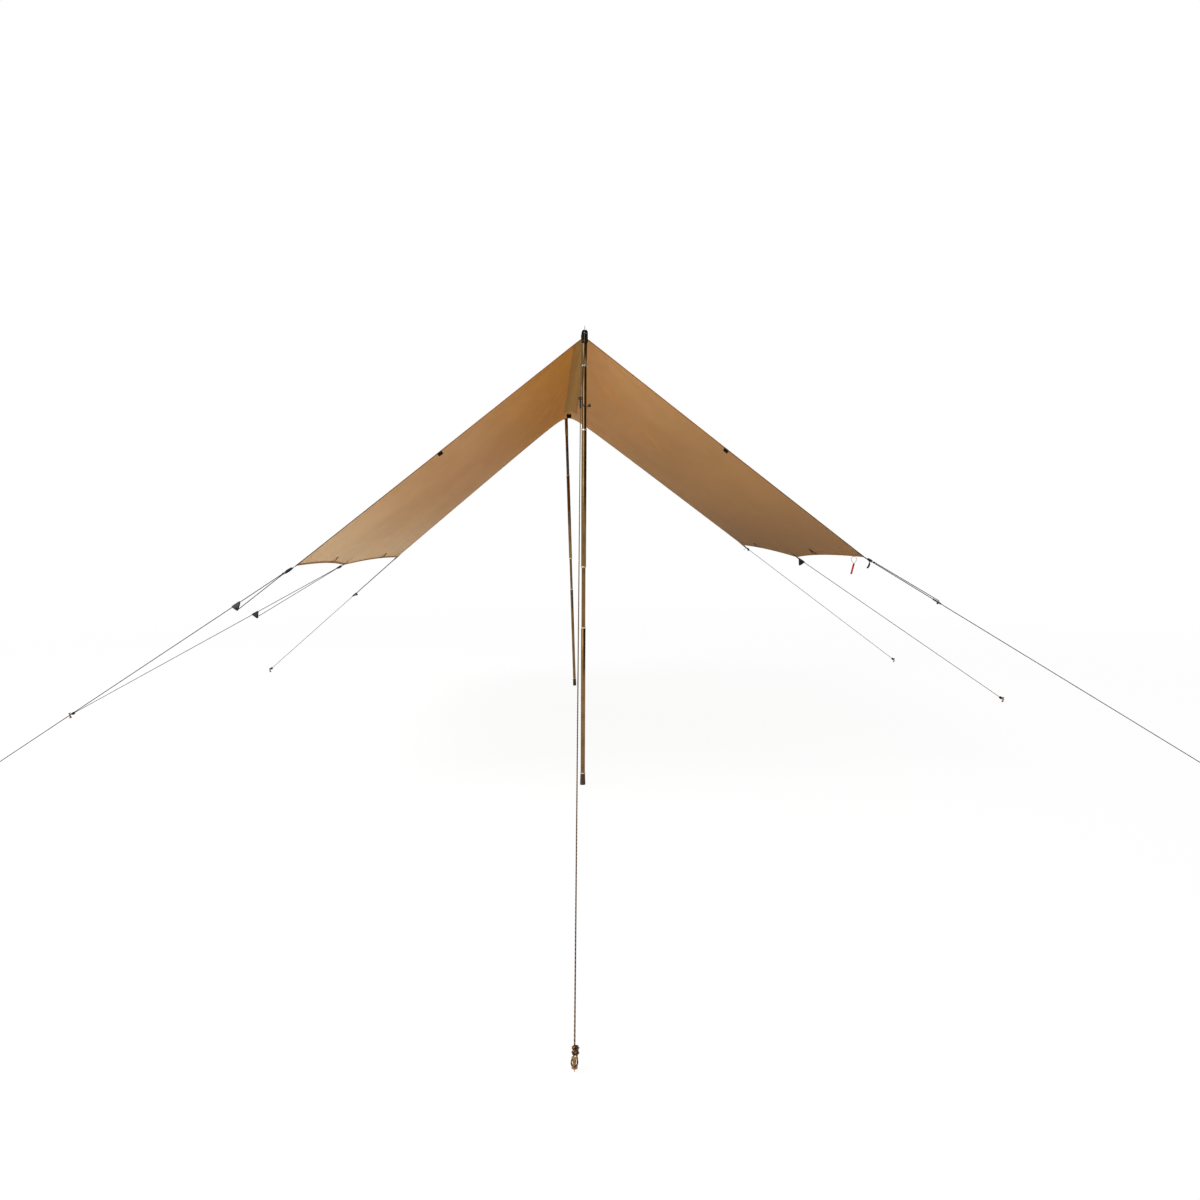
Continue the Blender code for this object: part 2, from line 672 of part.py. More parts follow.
def make_pole(prefix, crown, top, foot, lower_exposed, materials):
    """One telescoping pole. Each body hangs from an empty, and heights are along the pole's own line."""
    pivot = Vector((top[0], top[1], pivot_of(crown)))
    line = (pivot - Vector((foot[0], foot[1], 0.0))).normalized()
    across = Vector((1.0, 0.0, 0.0))
    forward = line.cross(across).normalized()
    place = frame_at(pivot, forward.cross(line), forward, line)
    length = pivot.z / line.z
    carrier = add_empty(prefix + "_pole_pivot", place)

    lower_top = lower_tube_top - length
    middle_low = lower_top + lower_exposed
    middle_top = middle_low + middle_length
    upper_low = -upper_tube_end
    tube_low = foot_floor + gap - length

    def turned(part, profile, material, closed=True):
        name = f"{prefix}_pole_{part}"
        mesh = mesh_from(lambda bm: add_turned(bm, profile, closed), name)
        return finish(name, mesh, material, carrier)

    turned("tip", tip_profile(), materials["steel"], False)
    turned("upper_tube", tube_profile(wide_radius, wide_radius - tube_wall, upper_low,
                                      -tip_shoulder - 0.005 - gap), materials["tube"])
    upper_stem = turned("upper_stem", stem_profile(upper_stem_radius, stem_wall, wide_radius,
                                                   middle_top - stem_inside, upper_low), materials["stem"])
    hole_place = place @ Matrix.Translation((-upper_stem_radius, 0, upper_low - button_drop))
    hole_place = hole_place @ Matrix.Rotation(math.radians(90), 4, "Y")
    cutter = [(0, -0.003), (button_hole, -0.003), (button_hole, 0.003), (0, 0.003)]
    cut(upper_stem, prefix + "_button_hole", lambda bm: add_turned(bm, cutter, sides=12), hole_place)

    turned("middle_tube", tube_profile(wide_radius, wide_radius - tube_wall, middle_low, middle_top),
           materials["tube"])
    turned("middle_collar", mouth_collar(wide_radius, upper_stem_radius, middle_top), materials["ring"])
    turned("lower_stem", stem_profile(lower_stem_radius, stem_wall, wide_radius, lower_top - stem_inside,
                                      middle_low), materials["stem"])
    turned("lower_tube", tube_profile(lower_radius, lower_radius - tube_wall, tube_low, lower_top),
           materials["tube"])
    turned("lower_collar", mouth_collar(lower_radius, lower_stem_radius, lower_top), materials["ring"])
    foot_top = foot_height - length
    ring = lower_radius + gap
    foot_profile = [
        (0, -length), (foot_radius, -length), (foot_radius, 0.005 - length), (ring + 0.4 * foot_wall, foot_top),
        (ring + foot_wall, foot_top), (ring + foot_wall, foot_top + collar_height),
        (ring, foot_top + collar_height), (ring, foot_floor - length), (0, foot_floor - length),
    ]
    rubber = turned("foot", foot_profile, materials["rubber"], False)
    # The sole is level with the ground although the pole leans a little.
    for vertex in rubber.data.vertices:
        if vertex.co.z < 0.001 - length:
            point = place @ vertex.co
            point.z = 0.0
            vertex.co = place.inverted() @ point


# Guylines

def tie_size(name):
    """Width and reach of the tie that holds a guyline."""
    return hood_tie_width if name == "front" else tie_width, tie_reaches[name]


def guy_frame(name):
    """The tie's point, the cloth's normal, the way out along the line, the way across it and the peg's loop."""
    peg_x, peg_y = guylines[name][0]
    loop = Vector((peg_x, peg_y, peg_loop_height))
    if name == "front":
        edge = -ridge_length / 2 - pole_setback - hood_overhang
        x = hood_tie_width / 2 - hood_half_gap - hood_webbing + 0.0004
        start = Vector((x, edge + webbing / 2 + 0.0002, ridge_height + front_crown_rise - 0.047))
        normal = Vector((0.0, 0.0, 1.0))
    else:
        start = tie_point(name)
        side = side_of(name)
        along = {"front": 0.012, "rear": 0.988, "side": 0.5}[name.split("_")[1]]
        normal = cloth_normal(side, 0.99, along)
    outward = (loop - start).normalized()
    across = normal.cross(outward).normalized()
    return start, normal, outward, across, loop


def strand_way(name):
    """From a tie's middle to the main strand: the width across it, toward the left at the front."""
    across = guy_frame(name)[3] * (-1 if name == "front" else 1)
    return across, tie_size(name)[0] / 2 + cord_radius + 0.0010


def line_frame(name):
    """The straight strand's start, its direction, the way across, the way up and its length."""
    start, _, outward, _, loop = guy_frame(name)
    across, offset = strand_way(name)
    origin = start + outward * tie_size(name)[1] + across * offset
    along = (loop - origin).normalized()
    side = (across - along * across.dot(along)).normalized()
    return origin, along, side, along.cross(side), (loop - origin).length


def runner_frame(name):
    """Where a runner sits on its line, with the line's direction and the rolled ways across and up."""
    origin, along, side, up, _ = line_frame(name)
    _, at, degrees = guylines[name]
    turn = math.radians(degrees)
    return (origin + along * at, along, side * math.cos(turn) + up * math.sin(turn),
            up * math.cos(turn) - side * math.sin(turn))


def add_front_tie(bm):
    """The front guyline's tie, which comes down the front of the hood's left leg."""
    start, _, outward, across, _ = guy_frame("front")
    width, reach = tie_size("front")
    lift = outward.cross(across)
    eye = start + outward * reach
    path = [start + Vector((0.0, 0.0, 0.047 - hood_shoulder * 0.8)), start + Vector((0.0, 0.0, 0.008)),
            start + Vector((0.0, -0.0005, 0.002)), start + outward * 0.006 - lift * webbing * 0.5]
    for k in range(6):
        turn = math.pi * (k / 5 - 0.5)
        path.append(eye + outward * eye_radius * math.cos(turn) + lift * eye_radius * math.sin(turn))
    path.append(start + outward * (reach * 0.45) + lift * webbing / 2)
    path.append(start + outward * 0.008 + lift * webbing / 2)
    add_strap(bm, path, across, width, webbing)


def make_tie(name, grids, material):
    """A hem tie: a webbing loop with its patch, and the loop's loose tail where it shows one."""
    depth = cloth + layer_gap + patch_thickness / 2 + webbing / 2
    start, normal, outward, across, _ = guy_frame(name)
    path = loop_path(grids, start, normal, outward, tie_sewn, tie_size(name)[1], depth)
    tie = add_webbing(f"{name}_tie", path, across, tie_width, material)
    side = side_of(name)
    along = {"front": 0.0, "rear": 1.0, "side": 0.5}[name.split("_")[1]]
    halves = {"front": (1,), "rear": (-1,), "side": (-1, 1)}[name.split("_")[1]]
    leg = side_patch_leg if name.endswith("side") else corner_patch_leg
    along_hem = (hem_point(side, min(along + 0.05, 1.0)) - hem_point(side, max(along - 0.05, 0.0))).normalized()
    inward = (ridge_point(along) - start).normalized()
    join(tie, f"{name}_patch", lambda bm: add_hem_patch(bm, grids, start, along_hem, inward, leg, halves))
    if name in tail_lengths:
        level = Vector((outward.x, outward.y, 0.0)).normalized()
        broad = (level * 0.75 + across * 0.66).normalized()
        away = broad.cross(Vector((0.0, 0.0, 1.0))) * (-1 if across.y < 0 else 1)
        root = start + outward * 0.016 - normal * (depth + webbing / 2)
        tail, ways = [root - outward * 0.010, root - outward * 0.001], [across, across]
        for t in (0.12, 0.3, 0.5, 0.7, 0.85, 1.0):
            swing = away * tail_bulge * math.sin(3.3 * t) + level * 0.004
            tail.append(root + swing - Vector((0, 0, tail_lengths[name] * t)))
            ways.append(across.lerp(broad, min(1.0, t * 1.6)).normalized())
        join(tie, f"{name}_tail", lambda bm: add_strap(bm, tail, ways, tie_width - 0.002, webbing))


def runner_mesh():
    """A three-cornered runner: a bore along its top edge and an eye in its lower corner."""
    half = runner_length / 2
    corners = [(-half, runner_rim), (half, runner_rim), (half, -0.003), (0.006, -runner_drop + 0.003),
               (0.002, -runner_drop), (-0.002, -runner_drop), (-0.006, -runner_drop + 0.003), (-half, -0.003)]

    def plate(bm):
        front = [bm.verts.new((x, -runner_thickness / 2, z)) for x, z in corners]
        back = [bm.verts.new((x, runner_thickness / 2, z)) for x, z in corners]
        bm.faces.new(front)
        bm.faces.new(list(reversed(back)))
        for k in range(len(corners)):
            n = (k + 1) % len(corners)
            bm.faces.new([front[n], front[k], back[k], back[n]])
        bmesh.ops.bevel(bm, geom=bm.edges[:], offset=0.0007, segments=1, affect="EDGES")

    blank = finish("runner_blank", mesh_from(plate, "runner_blank"), bpy.data.materials["Runner"])
    bore = cord_radius + bore_clearance
    bore_profile = [(0, -half - 0.002), (bore, -half - 0.002), (bore, half + 0.002), (0, half + 0.002)]
    cut(blank, "runner_bore", lambda bm: add_turned(bm, bore_profile, sides=12),
        Matrix.Rotation(math.radians(90), 4, "Y"))
    eye_profile = [(0, -runner_thickness), (bore, -runner_thickness), (bore, runner_thickness),
                   (0, runner_thickness)]
    cut(blank, "runner_eye", lambda bm: add_turned(bm, eye_profile, sides=12),
        Matrix.Translation((0, 0, -runner_eye_drop)) @ Matrix.Rotation(math.radians(90), 4, "X"))
    mesh = bpy.data.meshes.new_from_object(blank.evaluated_get(bpy.context.evaluated_depsgraph_get()))
    for helper in [blank, bpy.data.objects["runner_bore"], bpy.data.objects["runner_eye"]]:
        bpy.data.objects.remove(helper)
    mesh.shade_smooth()
    mesh.set_sharp_from_angle(angle=math.radians(35))
    return mesh


def eye_turn(name, sideways):
    """How a cord leaves a tie's eye beside the webbing's edge and turns along the line."""
    start, _, outward, _, _ = guy_frame(name)
    width, reach = tie_size(name)
    eye = start + outward * reach
    turns = ((-0.0020, 0.0), (0.0014, 0.0003), (0.0027, 0.0018))
    return [eye + sideways * (width / 2 + beside) + outward * ahead for beside, ahead in turns]


def line_route(name):
    """The route of a guyline: out of its tie's eye, straight to the peg, round it and back to the knot."""
    start, _, outward, _, _ = guy_frame(name)
    origin, along, side, _, length = line_frame(name)
    eye = start + outward * tie_size(name)[1]
    turn = [eye, *eye_turn(name, strand_way(name)[0]), origin + along * 0.009]
    straight = [origin + along * (0.03 + (length - peg_loop_length - 0.03) * k / 3) for k in range(4)]
    clear = 2 * cord_radius + gap

    def at(distance, out):
        return origin + along * (length + distance) + side * out

    wide, far = peg_loop_radius, peg_loop_length
    loop = [at(-0.77 * far, 0.0010), at(-0.50 * far, wide * 0.60), at(-0.19 * far, wide * 0.98),
            at(0.12 * far, wide * 0.88), at(wide, 0.0), at(0.12 * far, -wide * 0.88), at(-0.19 * far, -wide),
            at(-0.50 * far, -wide * 0.88), at(-0.77 * far, -clear - 0.0005), at(-far, -clear)]
    return turn + straight + loop


def return_route(name):
    """The route of the strand from the tie's eye back to the runner, through its eye to the end knot."""
    start, _, outward, _, _ = guy_frame(name)
    across, offset = strand_way(name)
    place, along, side, up = runner_frame(name)
    eye = start + outward * tie_size(name)[1]
    hole = place - up * runner_eye_drop
    face = runner_thickness / 2
    near = hole - side * (face + cord_radius + 0.0023)
    route = eye_turn(name, -across)
    leave = eye - across * offset + outward * 0.009
    reach = near - along * 0.007 - leave
    route += [leave + reach * share for share in (0.0, 0.25, 0.5, 0.75, 1.0)]
    route += [near + side * 0.0014, hole, hole + side * (face + 0.001)]
    if name != "front":
        route.append(hole + side * (face + knot_tail * 0.5))
        return route
    # The front line's end turns round the runner's corner and hangs in a hook.
    beyond = runner_drop - runner_eye_drop + cord_radius + 0.0012
    beside = face + cord_radius + 0.0020
    route += [hole + side * beside - up * 0.006 + along * 0.003,
              hole + side * beside * 0.55 - up * beyond + along * 0.004,
              hole - side * beside * 0.35 - up * beyond + along * 0.004,
              hole - side * beside * 1.15 - up * beyond * 0.75 + along * 0.004]
    for out, drop in ((0.0105, 0.014), (0.0120, 0.030), (0.0180, 0.043), (0.0270, 0.046), (0.0370, 0.041)):
        route.append(hole - side * out - up * beyond * 0.6 - Vector((0.0, 0.0, drop)))
    return route


def add_peg(bm, name):
    """A stake of three blades, cut at the ground and leaning away from the tarp."""
    x, y = guylines[name][0]
    _, along, _, _, _ = line_frame(name)
    level = Vector((along.x, along.y, 0.0)).normalized()
    top = level * math.sin(peg_lean) + Vector((0, 0, math.cos(peg_lean)))
    # The stake stands against the far end of the cord's loop, which slopes down past the loop's middle.
    slope = math.asin(-along.z)
    reach = peg_loop_radius * (math.cos(slope) + math.sin(slope) * math.tan(peg_lean))
    peg_seat = reach - (peg_blade * peg_waist + cord_radius + peg_gap) / math.cos(peg_lean)
    centre = Vector((x, y, peg_loop_height)) + level * peg_seat - top * (peg_loop_height / top.z)
    side = top.cross(level).normalized()
    out = side.cross(top)
    half = peg_blade_thickness / 2
    outline = []
    for k in range(3):
        turn = 2 * math.pi * k / 3
        way = out * math.cos(turn) + side * math.sin(turn)
        flank = side * math.cos(turn) - out * math.sin(turn)
        root = half / math.tan(math.radians(60))
        outline += [way * root - flank * half, way * peg_blade - flank * half, way * peg_blade + flank * half]
    levels = []
    for share, narrow in ((0.0, 1.0), (0.26, 1.0), (0.31, peg_waist), (0.78, peg_waist), (0.83, 1.0), (1.0, 0.86)):
        ring = []
        for k, offset in enumerate(outline):
            shift = offset if k % 3 == 0 else offset * narrow
            point = centre + top * (peg_height * share / top.z) + shift
            if share == 0.0:
                point -= top * (point.z / top.z)
            ring.append(bm.verts.new(point))
        levels.append(ring)
    count = len(outline)
    for a, b in zip(levels, levels[1:]):
        for k in range(count):
            bm.faces.new([a[k], a[(k + 1) % count], b[(k + 1) % count], b[k]])
    bm.faces.new(list(reversed(levels[0])))
    bm.faces.new(levels[-1])


def make_guylines(materials):
    shared = runner_mesh()
    for name in guylines:
        route = list(reversed(return_route(name))) + line_route(name)
        add_cord(f"{name}_guyline", route, cord_radius, materials["cord"])
        carrier = add_empty(f"{name}_runner_place", frame_at(*runner_frame(name)))
        runner = bpy.data.objects.new(f"{name}_runner", shared)
        runner.parent = carrier
        bpy.context.scene.collection.objects.link(runner)
        finish(f"{name}_peg", mesh_from(lambda bm: add_peg(bm, name), "peg"), materials["peg"])


# Pull tag

def make_tag(materials):
    """A red cord loop with a strap, hanging from an empty on its swing axis under the hem."""
    point = cloth_point(1, 0.9997, tag_place / 2)
    normal = cloth_normal(1, 0.9997, tag_place / 2)
    axis = point - normal * (cloth + 0.0001)
    carrier = add_empty("tag_pivot", Matrix.Translation(axis))
    half, drop = tag_loop_width / 2, tag_loop_length
    left = [Vector((-half * x, 0, -drop * z)) for x, z in ((0.09, 0.02), (0.55, 0.11), (1.0, 0.34), (0.72, 0.66))]
    right = [Vector((-p.x, 0, p.z)) for p in reversed(left)]
    cord = add_cord("tag_cord", left + [Vector((0, 0, -drop * 0.985))] + right, tag_cord_radius,
                    materials["tag_cord"])
    cord.parent = carrier
    top = -drop * 0.985 - tag_cord_radius - gap
    path = [Vector((-tag_lean * tag_length * t, 0, top - tag_length * t)) for t in (0, 0.2, 0.45, 0.7, 1.0)]
    mesh = mesh_from(lambda bm: add_strap(bm, path, Vector((0.94, -0.34, 0)), tag_width, tag_thickness), "tag")
    finish("tag_strap", mesh, materials["tag"], carrier)


def main():
    for thing in list(bpy.data.objects):
        bpy.data.objects.remove(thing)
    cloth_left = new_material("Cloth left", (172, 120, 66), 0.85)
    cloth_right = new_material("Cloth right", (160, 114, 70), 0.85)
    cloth_patch = new_material("Cloth patch", (124, 92, 56), 0.88)
    web = new_material("Webbing", (24, 22, 22), 0.8)
    eyelet = new_material("Eyelet", (60, 58, 56), 0.4, 0.9)
    new_material("Runner", (20, 20, 21), 0.5)
    materials = {
        "steel": new_material("Pole tip steel", (200, 202, 198), 0.3, 1.0),
        "tube": new_material("Pole tube", (138, 108, 72), 0.35, 0.8),
        "stem": new_material("Pole stem", (132, 102, 66), 0.3, 0.8),
        "ring": new_material("Pole ring", (200, 190, 172), 0.3, 0.9),
        "rubber": new_material("Pole foot", (62, 40, 26), 0.7),
        "cord": new_material("Guyline cord", (78, 70, 66), 0.8),
        "peg": new_material("Peg", (150, 112, 66), 0.4, 0.7),
        "tag_cord": new_material("Tag cord", (176, 70, 84), 0.7),
        "tag": new_material("Tag strap", (176, 16, 32), 0.7),
    }
    grids = {-1: panel_grid(-1), 1: panel_grid(1)}
    make_panel("left_panel", grids[-1], cloth_left)
    make_panel("right_panel", grids[1], cloth_right)
    make_ridge_strip(grids, cloth_patch)
    make_edge_loops(grids, web)
    for name in guylines:
        if name != "front":
            make_tie(name, grids, web)

    pole_y = ridge_length / 2 + pole_setback
    front_crown, rear_crown = ridge_height + front_crown_rise, ridge_height + rear_crown_rise
    front_hood = make_hood("front_hood", grids, front_crown, -1, -pole_y, web)
    make_hood("rear_hood", grids, rear_crown, 1, pole_y, web)
    join(front_hood, "front_guy_tie", add_front_tie)

    for word, end, crown in (("front", -1, front_crown), ("rear", 1, rear_crown)):
        place = Matrix.Translation((top_x(end), end * pole_y, crown + hood_webbing / 2))
        eyelet_ring = finish(f"{word}_grommet", mesh_from(add_grommet, "grommet"), eyelet)
        eyelet_ring.matrix_world = place
    make_pole("front", front_crown, (top_x(-1), -pole_y), (front_foot_x, -pole_y), front_lower_exposed, materials)
    make_pole("rear", rear_crown, (top_x(1), pole_y), (rear_foot_x, pole_y), rear_lower_exposed, materials)
    make_guylines(materials)
    make_tag(materials)
    bpy.context.view_layer.update()


main()
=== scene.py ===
import json
from math import atan2, cos, exp, hypot, pi, radians, sin, tau

import bmesh
import bpy
from mathutils import Matrix, Vector


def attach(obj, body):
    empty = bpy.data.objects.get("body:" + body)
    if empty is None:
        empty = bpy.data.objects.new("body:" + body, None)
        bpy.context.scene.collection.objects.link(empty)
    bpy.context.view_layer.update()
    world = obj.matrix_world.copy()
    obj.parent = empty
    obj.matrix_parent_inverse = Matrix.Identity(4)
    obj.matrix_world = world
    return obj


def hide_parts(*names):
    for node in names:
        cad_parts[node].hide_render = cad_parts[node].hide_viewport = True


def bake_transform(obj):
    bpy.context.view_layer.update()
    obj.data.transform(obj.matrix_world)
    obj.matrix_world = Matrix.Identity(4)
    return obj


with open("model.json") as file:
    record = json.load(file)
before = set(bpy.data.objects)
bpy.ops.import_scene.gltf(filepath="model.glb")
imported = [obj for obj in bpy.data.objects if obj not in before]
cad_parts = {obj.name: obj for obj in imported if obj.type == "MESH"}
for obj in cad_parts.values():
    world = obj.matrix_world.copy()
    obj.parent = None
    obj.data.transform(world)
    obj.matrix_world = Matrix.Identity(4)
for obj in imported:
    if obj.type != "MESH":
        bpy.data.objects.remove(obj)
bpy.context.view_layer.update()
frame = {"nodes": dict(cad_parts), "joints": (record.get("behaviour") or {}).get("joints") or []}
nodes = frame["nodes"]
joints = {joint["name"]: joint for joint in frame["joints"]}

# The tarp as pitched, in metres: +Y runs along the ridge and the front is at -Y
pitch = {
    "ridgeLength": 3.0, "ridgeHeight": 2.480, "slope": 2.0, "halfSpan": 1.59, "sidePull": 0.075,
    "cornerHeight": 1.25, "sideHeight": 1.205, "frontRound": 0.010, "rearRound": 0.070,
    "ridgeSag": 0.015, "panelSag": 0.045, "sideCut": 0.028, "frontCut": 0.008, "setback": 0.030,
}
ridgeLength, slope = pitch["ridgeLength"], pitch["slope"]
tieShift = {  # how far each tie sits from its even place
    "left_front": (0.012, -0.003, -0.009), "right_front": (0.001, 0.004, 0.020),
    "left_rear": (0.050, 0.003, -0.059), "right_rear": (0.006, -0.005, 0.035),
    "left_side": (0.0, -0.015, -0.020), "right_side": (-0.019, -0.014, 0.017),
}
webbing = 0.0018  # thickness of the tape
gap = 0.0003
skyward = Vector((0.0, 0.0, 1.0))


# Shader helpers

def colour(code):
    # A linear colour from an sRGB code
    levels = [int(code[k:k + 2], 16) / 255 for k in (0, 2, 4)]
    return (*(v / 12.92 if v <= 0.04045 else ((v + 0.055) / 1.055) ** 2.4 for v in levels), 1.0)


class Wire:  # a node's output to calculate with

    def __init__(self, tree, socket):
        self.tree, self.socket = tree, socket

    def math(self, operation, other=None, swap=False):
        values = [self] if other is None else [other, self] if swap else [self, other]
        return self.tree.add("ShaderNodeMath", {"operation": operation}, dict(enumerate(values)))

    def __add__(self, other):
        return self.math("ADD", other)

    def __sub__(self, other):
        return self.math("SUBTRACT", other)

    def __rsub__(self, other):
        return self.math("SUBTRACT", other, True)

    def __mul__(self, other):
        return self.math("MULTIPLY", other)

    def __truediv__(self, other):
        return self.math("DIVIDE", other)

    def __rtruediv__(self, other):
        return self.math("DIVIDE", other, True)

    def __pow__(self, other):
        return self.math("POWER", other)

    def __rpow__(self, other):
        return self.math("POWER", other, True)

    __radd__, __rmul__ = __add__, __mul__

    def clamped(self):
        settings = {"operation": "MULTIPLY", "use_clamp": True}
        return self.tree.add("ShaderNodeMath", settings, {0: self, 1: 1.0})

    def ramp(self, low, high, toLow=0.0, toHigh=1.0):
        return self.tree.add("ShaderNodeMapRange", {"interpolation_type": "SMOOTHSTEP"}, {
            "Value": self, "From Min": low, "From Max": high, "To Min": toLow, "To Max": toHigh})


class NodeTree:  # the nodes of a material or the world

    def __init__(self, owner):
        owner.use_nodes = True
        self.tree = owner.node_tree

    def add(self, kind, settings=None, sockets=None, out=0):
        made = self.tree.nodes.new(kind)
        for name, value in (settings or {}).items():
            setattr(made, name, value)
        self.fill(made, sockets or {})
        if isinstance(out, tuple):
            return [Wire(self, made.outputs[name]) for name in out]
        return Wire(self, made.outputs[out])

    def fill(self, made, sockets):
        for name, value in sockets.items():
            if isinstance(value, Wire):
                self.tree.links.new(value.socket, made.inputs[name])
            else:
                made.inputs[name].default_value = colour(value) if isinstance(value, str) else value


class Surface(NodeTree):  # one material and what feeds its Principled shader

    def __init__(self, name):
        self.material = bpy.data.materials.new(name)
        super().__init__(self.material)
        self.shader = self.tree.nodes["Principled BSDF"]

    def place(self):
        return self.add("ShaderNodeTexCoord", out="Object")

    def split(self, vector, names=("X", "Y", "Z")):
        return self.add("ShaderNodeSeparateXYZ", None, {0: vector}, names)

    def uv(self):
        return self.split(self.add("ShaderNodeUVMap"), ("X", "Y"))

    def noise(self, scale, detail, roughness, place=None, stretch=None):
        place = place or self.place()
        if stretch:
            place = self.add("ShaderNodeMapping", None, {"Vector": place, "Scale": stretch})
        return self.add("ShaderNodeTexNoise", None, {
            "Vector": place, "Scale": scale, "Detail": detail, "Roughness": roughness}, "Fac")

    def mixed(self, share, low, high):
        return self.add("ShaderNodeMix", {"data_type": "RGBA"}, {0: share, 6: low, 7: high}, 2)

    def set(self, **values):
        self.fill(self.shader, {name.replace("_", " "): value for name, value in values.items()})

    def bump(self, height, distance, strength):
        bumped = {"Height": height, "Distance": distance, "Strength": strength}
        self.set(Normal=self.add("ShaderNodeBump", None, bumped))
        return self.material

    def blendWith(self, other, share):
        # Shows a share of another shader with the Principled one
        both = {0: share, 1: Wire(self, self.shader.outputs[0]), 2: other}
        self.fill(self.tree.nodes["Material Output"],
                  {"Surface": self.add("ShaderNodeMixShader", None, both)})


# Materials

def wave(value, length):
    return (value * (tau / length)).math("SINE")


def weave(u, v, spacing):
    return wave(u, spacing) * wave(v, spacing) * 0.5 + 0.5


# Sharp creases near the ridge, in the cloth's metres: start, stop, half width, depth, bend. The cloth is
# painted a lighter orange along them: painted light glowing through the folds.
creases = [
    ((0.17, 0.58), (0.58, 1.31), 0.019, 1.0, 0.0),
    ((0.11, 0.64), (0.28, 1.05), 0.018, 0.6, 0.0),
    ((0.51, 0.88), (0.73, 1.28), 0.016, 0.8, 0.0),
    ((0.13, 1.11), (0.24, 1.39), 0.018, 0.4, 0.0),
    ((-0.06, 1.03), (-0.26, 1.74), 0.020, 0.8, -0.107),
    ((-0.04, 1.31), (-0.20, 2.36), 0.020, 0.7, -0.170),
    ((-0.05, 1.12), (-0.33, 1.80), 0.022, 0.5, -0.120),
    ((-0.04, 1.60), (-0.10, 2.60), 0.018, 0.6, -0.090),
]


def creased(u, v):
    total = 0.0
    for (u0, v0), (u1, v1), width, depth, bend in creases:
        length = hypot(u1 - u0, v1 - v0)
        ux, uy = (u1 - u0) / length, (v1 - v0) / length
        run = u * (ux / length) + v * (uy / length) - (u0 * ux + v0 * uy) / length
        off = v * ux - u * uy - (v0 * ux - u0 * uy) + (run - run * run) * bend
        fade = run.ramp(-0.1, 0.25) * run.ramp(0.75, 1.1, 1.0, 0.0)
        total = off.math("ABSOLUTE").ramp(0.0, width, depth, 0.0) * fade + total
    return total


def makeCloth(name, look):
    # Coated cloth that lets some light through. U runs from hem to hem, V along the ridge.
    surface = Surface(name)
    u, v = surface.uv()
    threads = weave(u, v, look["thread"])
    ripstop = (wave(u, look["grid"]) ** 24.0).math("MAXIMUM", wave(v, look["grid"]) ** 24.0)
    broad = surface.noise(1.7, 3.0, 0.55)
    blotch = surface.noise(9.0, 4.0, 0.6)
    lengthwise = surface.noise(6.0, 3.0, 0.5, stretch=(1.0, 0.12, 1.0))
    share = (broad * 0.55 + blotch * 0.2 + lengthwise * 0.25).ramp(0.34, 0.66)
    fromRidge = u.math("ABSOLUTE") / slope

    # Painted light: a side's colour changes from the ridge to the hem by how light falls on it
    def paintedLightRamp(codes):
        upper = surface.mixed(fromRidge.ramp(0.05, 0.5), codes[0], codes[1])
        return surface.mixed(fromRidge.ramp(0.5, 1.0), upper, codes[2])

    # Painted light: the left side is painted as lit through, orange near the ridge, and the right side as
    # painted shade
    base = surface.mixed((u * 40.0 + 0.5).clamped(), paintedLightRamp(look["left"]), paintedLightRamp(look["right"]))
    base = surface.mixed(share * look["uneven"], base, look["shade"])
    hemShare = surface.add("ShaderNodeAttribute", {"attribute_name": "hemShare"}, out="Fac")
    base = surface.mixed(hemShare * look["hemDark"], base, look["hem"])
    relief = threads * 0.02 + ripstop * 0.01 + lengthwise * 0.5 + blotch * 0.4
    if look["creased"]:
        lines = creased(u, v) * 1.5
        # Painted light: the crease lines are painted a lighter, glowing orange
        base = surface.mixed(lines.clamped() * 0.75, base, look["crease"])
        relief = relief + lines * 0.8
    base = surface.mixed(threads * 0.03 + ripstop * 0.02, base, look["light"])
    surface.set(Base_Color=base, Roughness=0.76 + blotch * 0.12, Specular_IOR_Level=0.15)
    glow = surface.add("ShaderNodeBsdfTranslucent", None, {"Color": look["glow"]})
    surface.blendWith(glow, look["through"])
    return surface.bump(relief, 0.0016, 0.35)


def makeWebbing(name, dark, light, rough=0.82):
    # Woven tape with fine ribs and a worn face
    surface = Surface(name)
    place = surface.place()
    x, y, z = surface.split(place)
    grain = surface.noise(900.0, 2.0, 0.6, place)
    ribs = ((x + y + z) * 2600.0).math("SINE")
    worn = surface.noise(40.0, 3.0, 0.6, place).ramp(0.52, 0.75)
    base = surface.mixed((grain * 0.6 + ribs * 0.12).ramp(0.15, 0.6), dark, light)
    base = surface.mixed(worn * 0.3, base, light)
    surface.set(Base_Color=base, Roughness=rough + grain * 0.12, Specular_IOR_Level=0.2, Sheen_Weight=0.04)
    return surface.bump(grain * 0.5 + ribs * 0.3, 0.0006, 0.6)


def makeBraid(name, look):
    # Braided cord with a tracer thread that winds round it
    surface = Surface(name)
    turn, along = surface.uv()
    lay, strands = along * (1.0 / look["lay"]), turn * look["strands"]
    right = ((lay + strands) * tau).math("SINE")
    left = ((lay - strands) * tau).math("SINE")
    braid = (right * 0.5 + 0.5).math("MAXIMUM", left * 0.5 + 0.5)
    tracer = ((along * (1.0 / look["tracerLay"]) + turn) * tau).math("SINE").ramp(0.35, 0.8)
    grain = surface.noise(1200.0, 2.0, 0.6)
    base = surface.mixed(braid * 0.7 + grain * 0.3, look["dark"], look["light"])
    base = surface.mixed(tracer * look["tracerShare"], base, look["tracer"])
    surface.set(Base_Color=base, Roughness=0.7 + grain * 0.2, Specular_IOR_Level=0.2)
    return surface.bump(braid, 0.0004, 0.8)


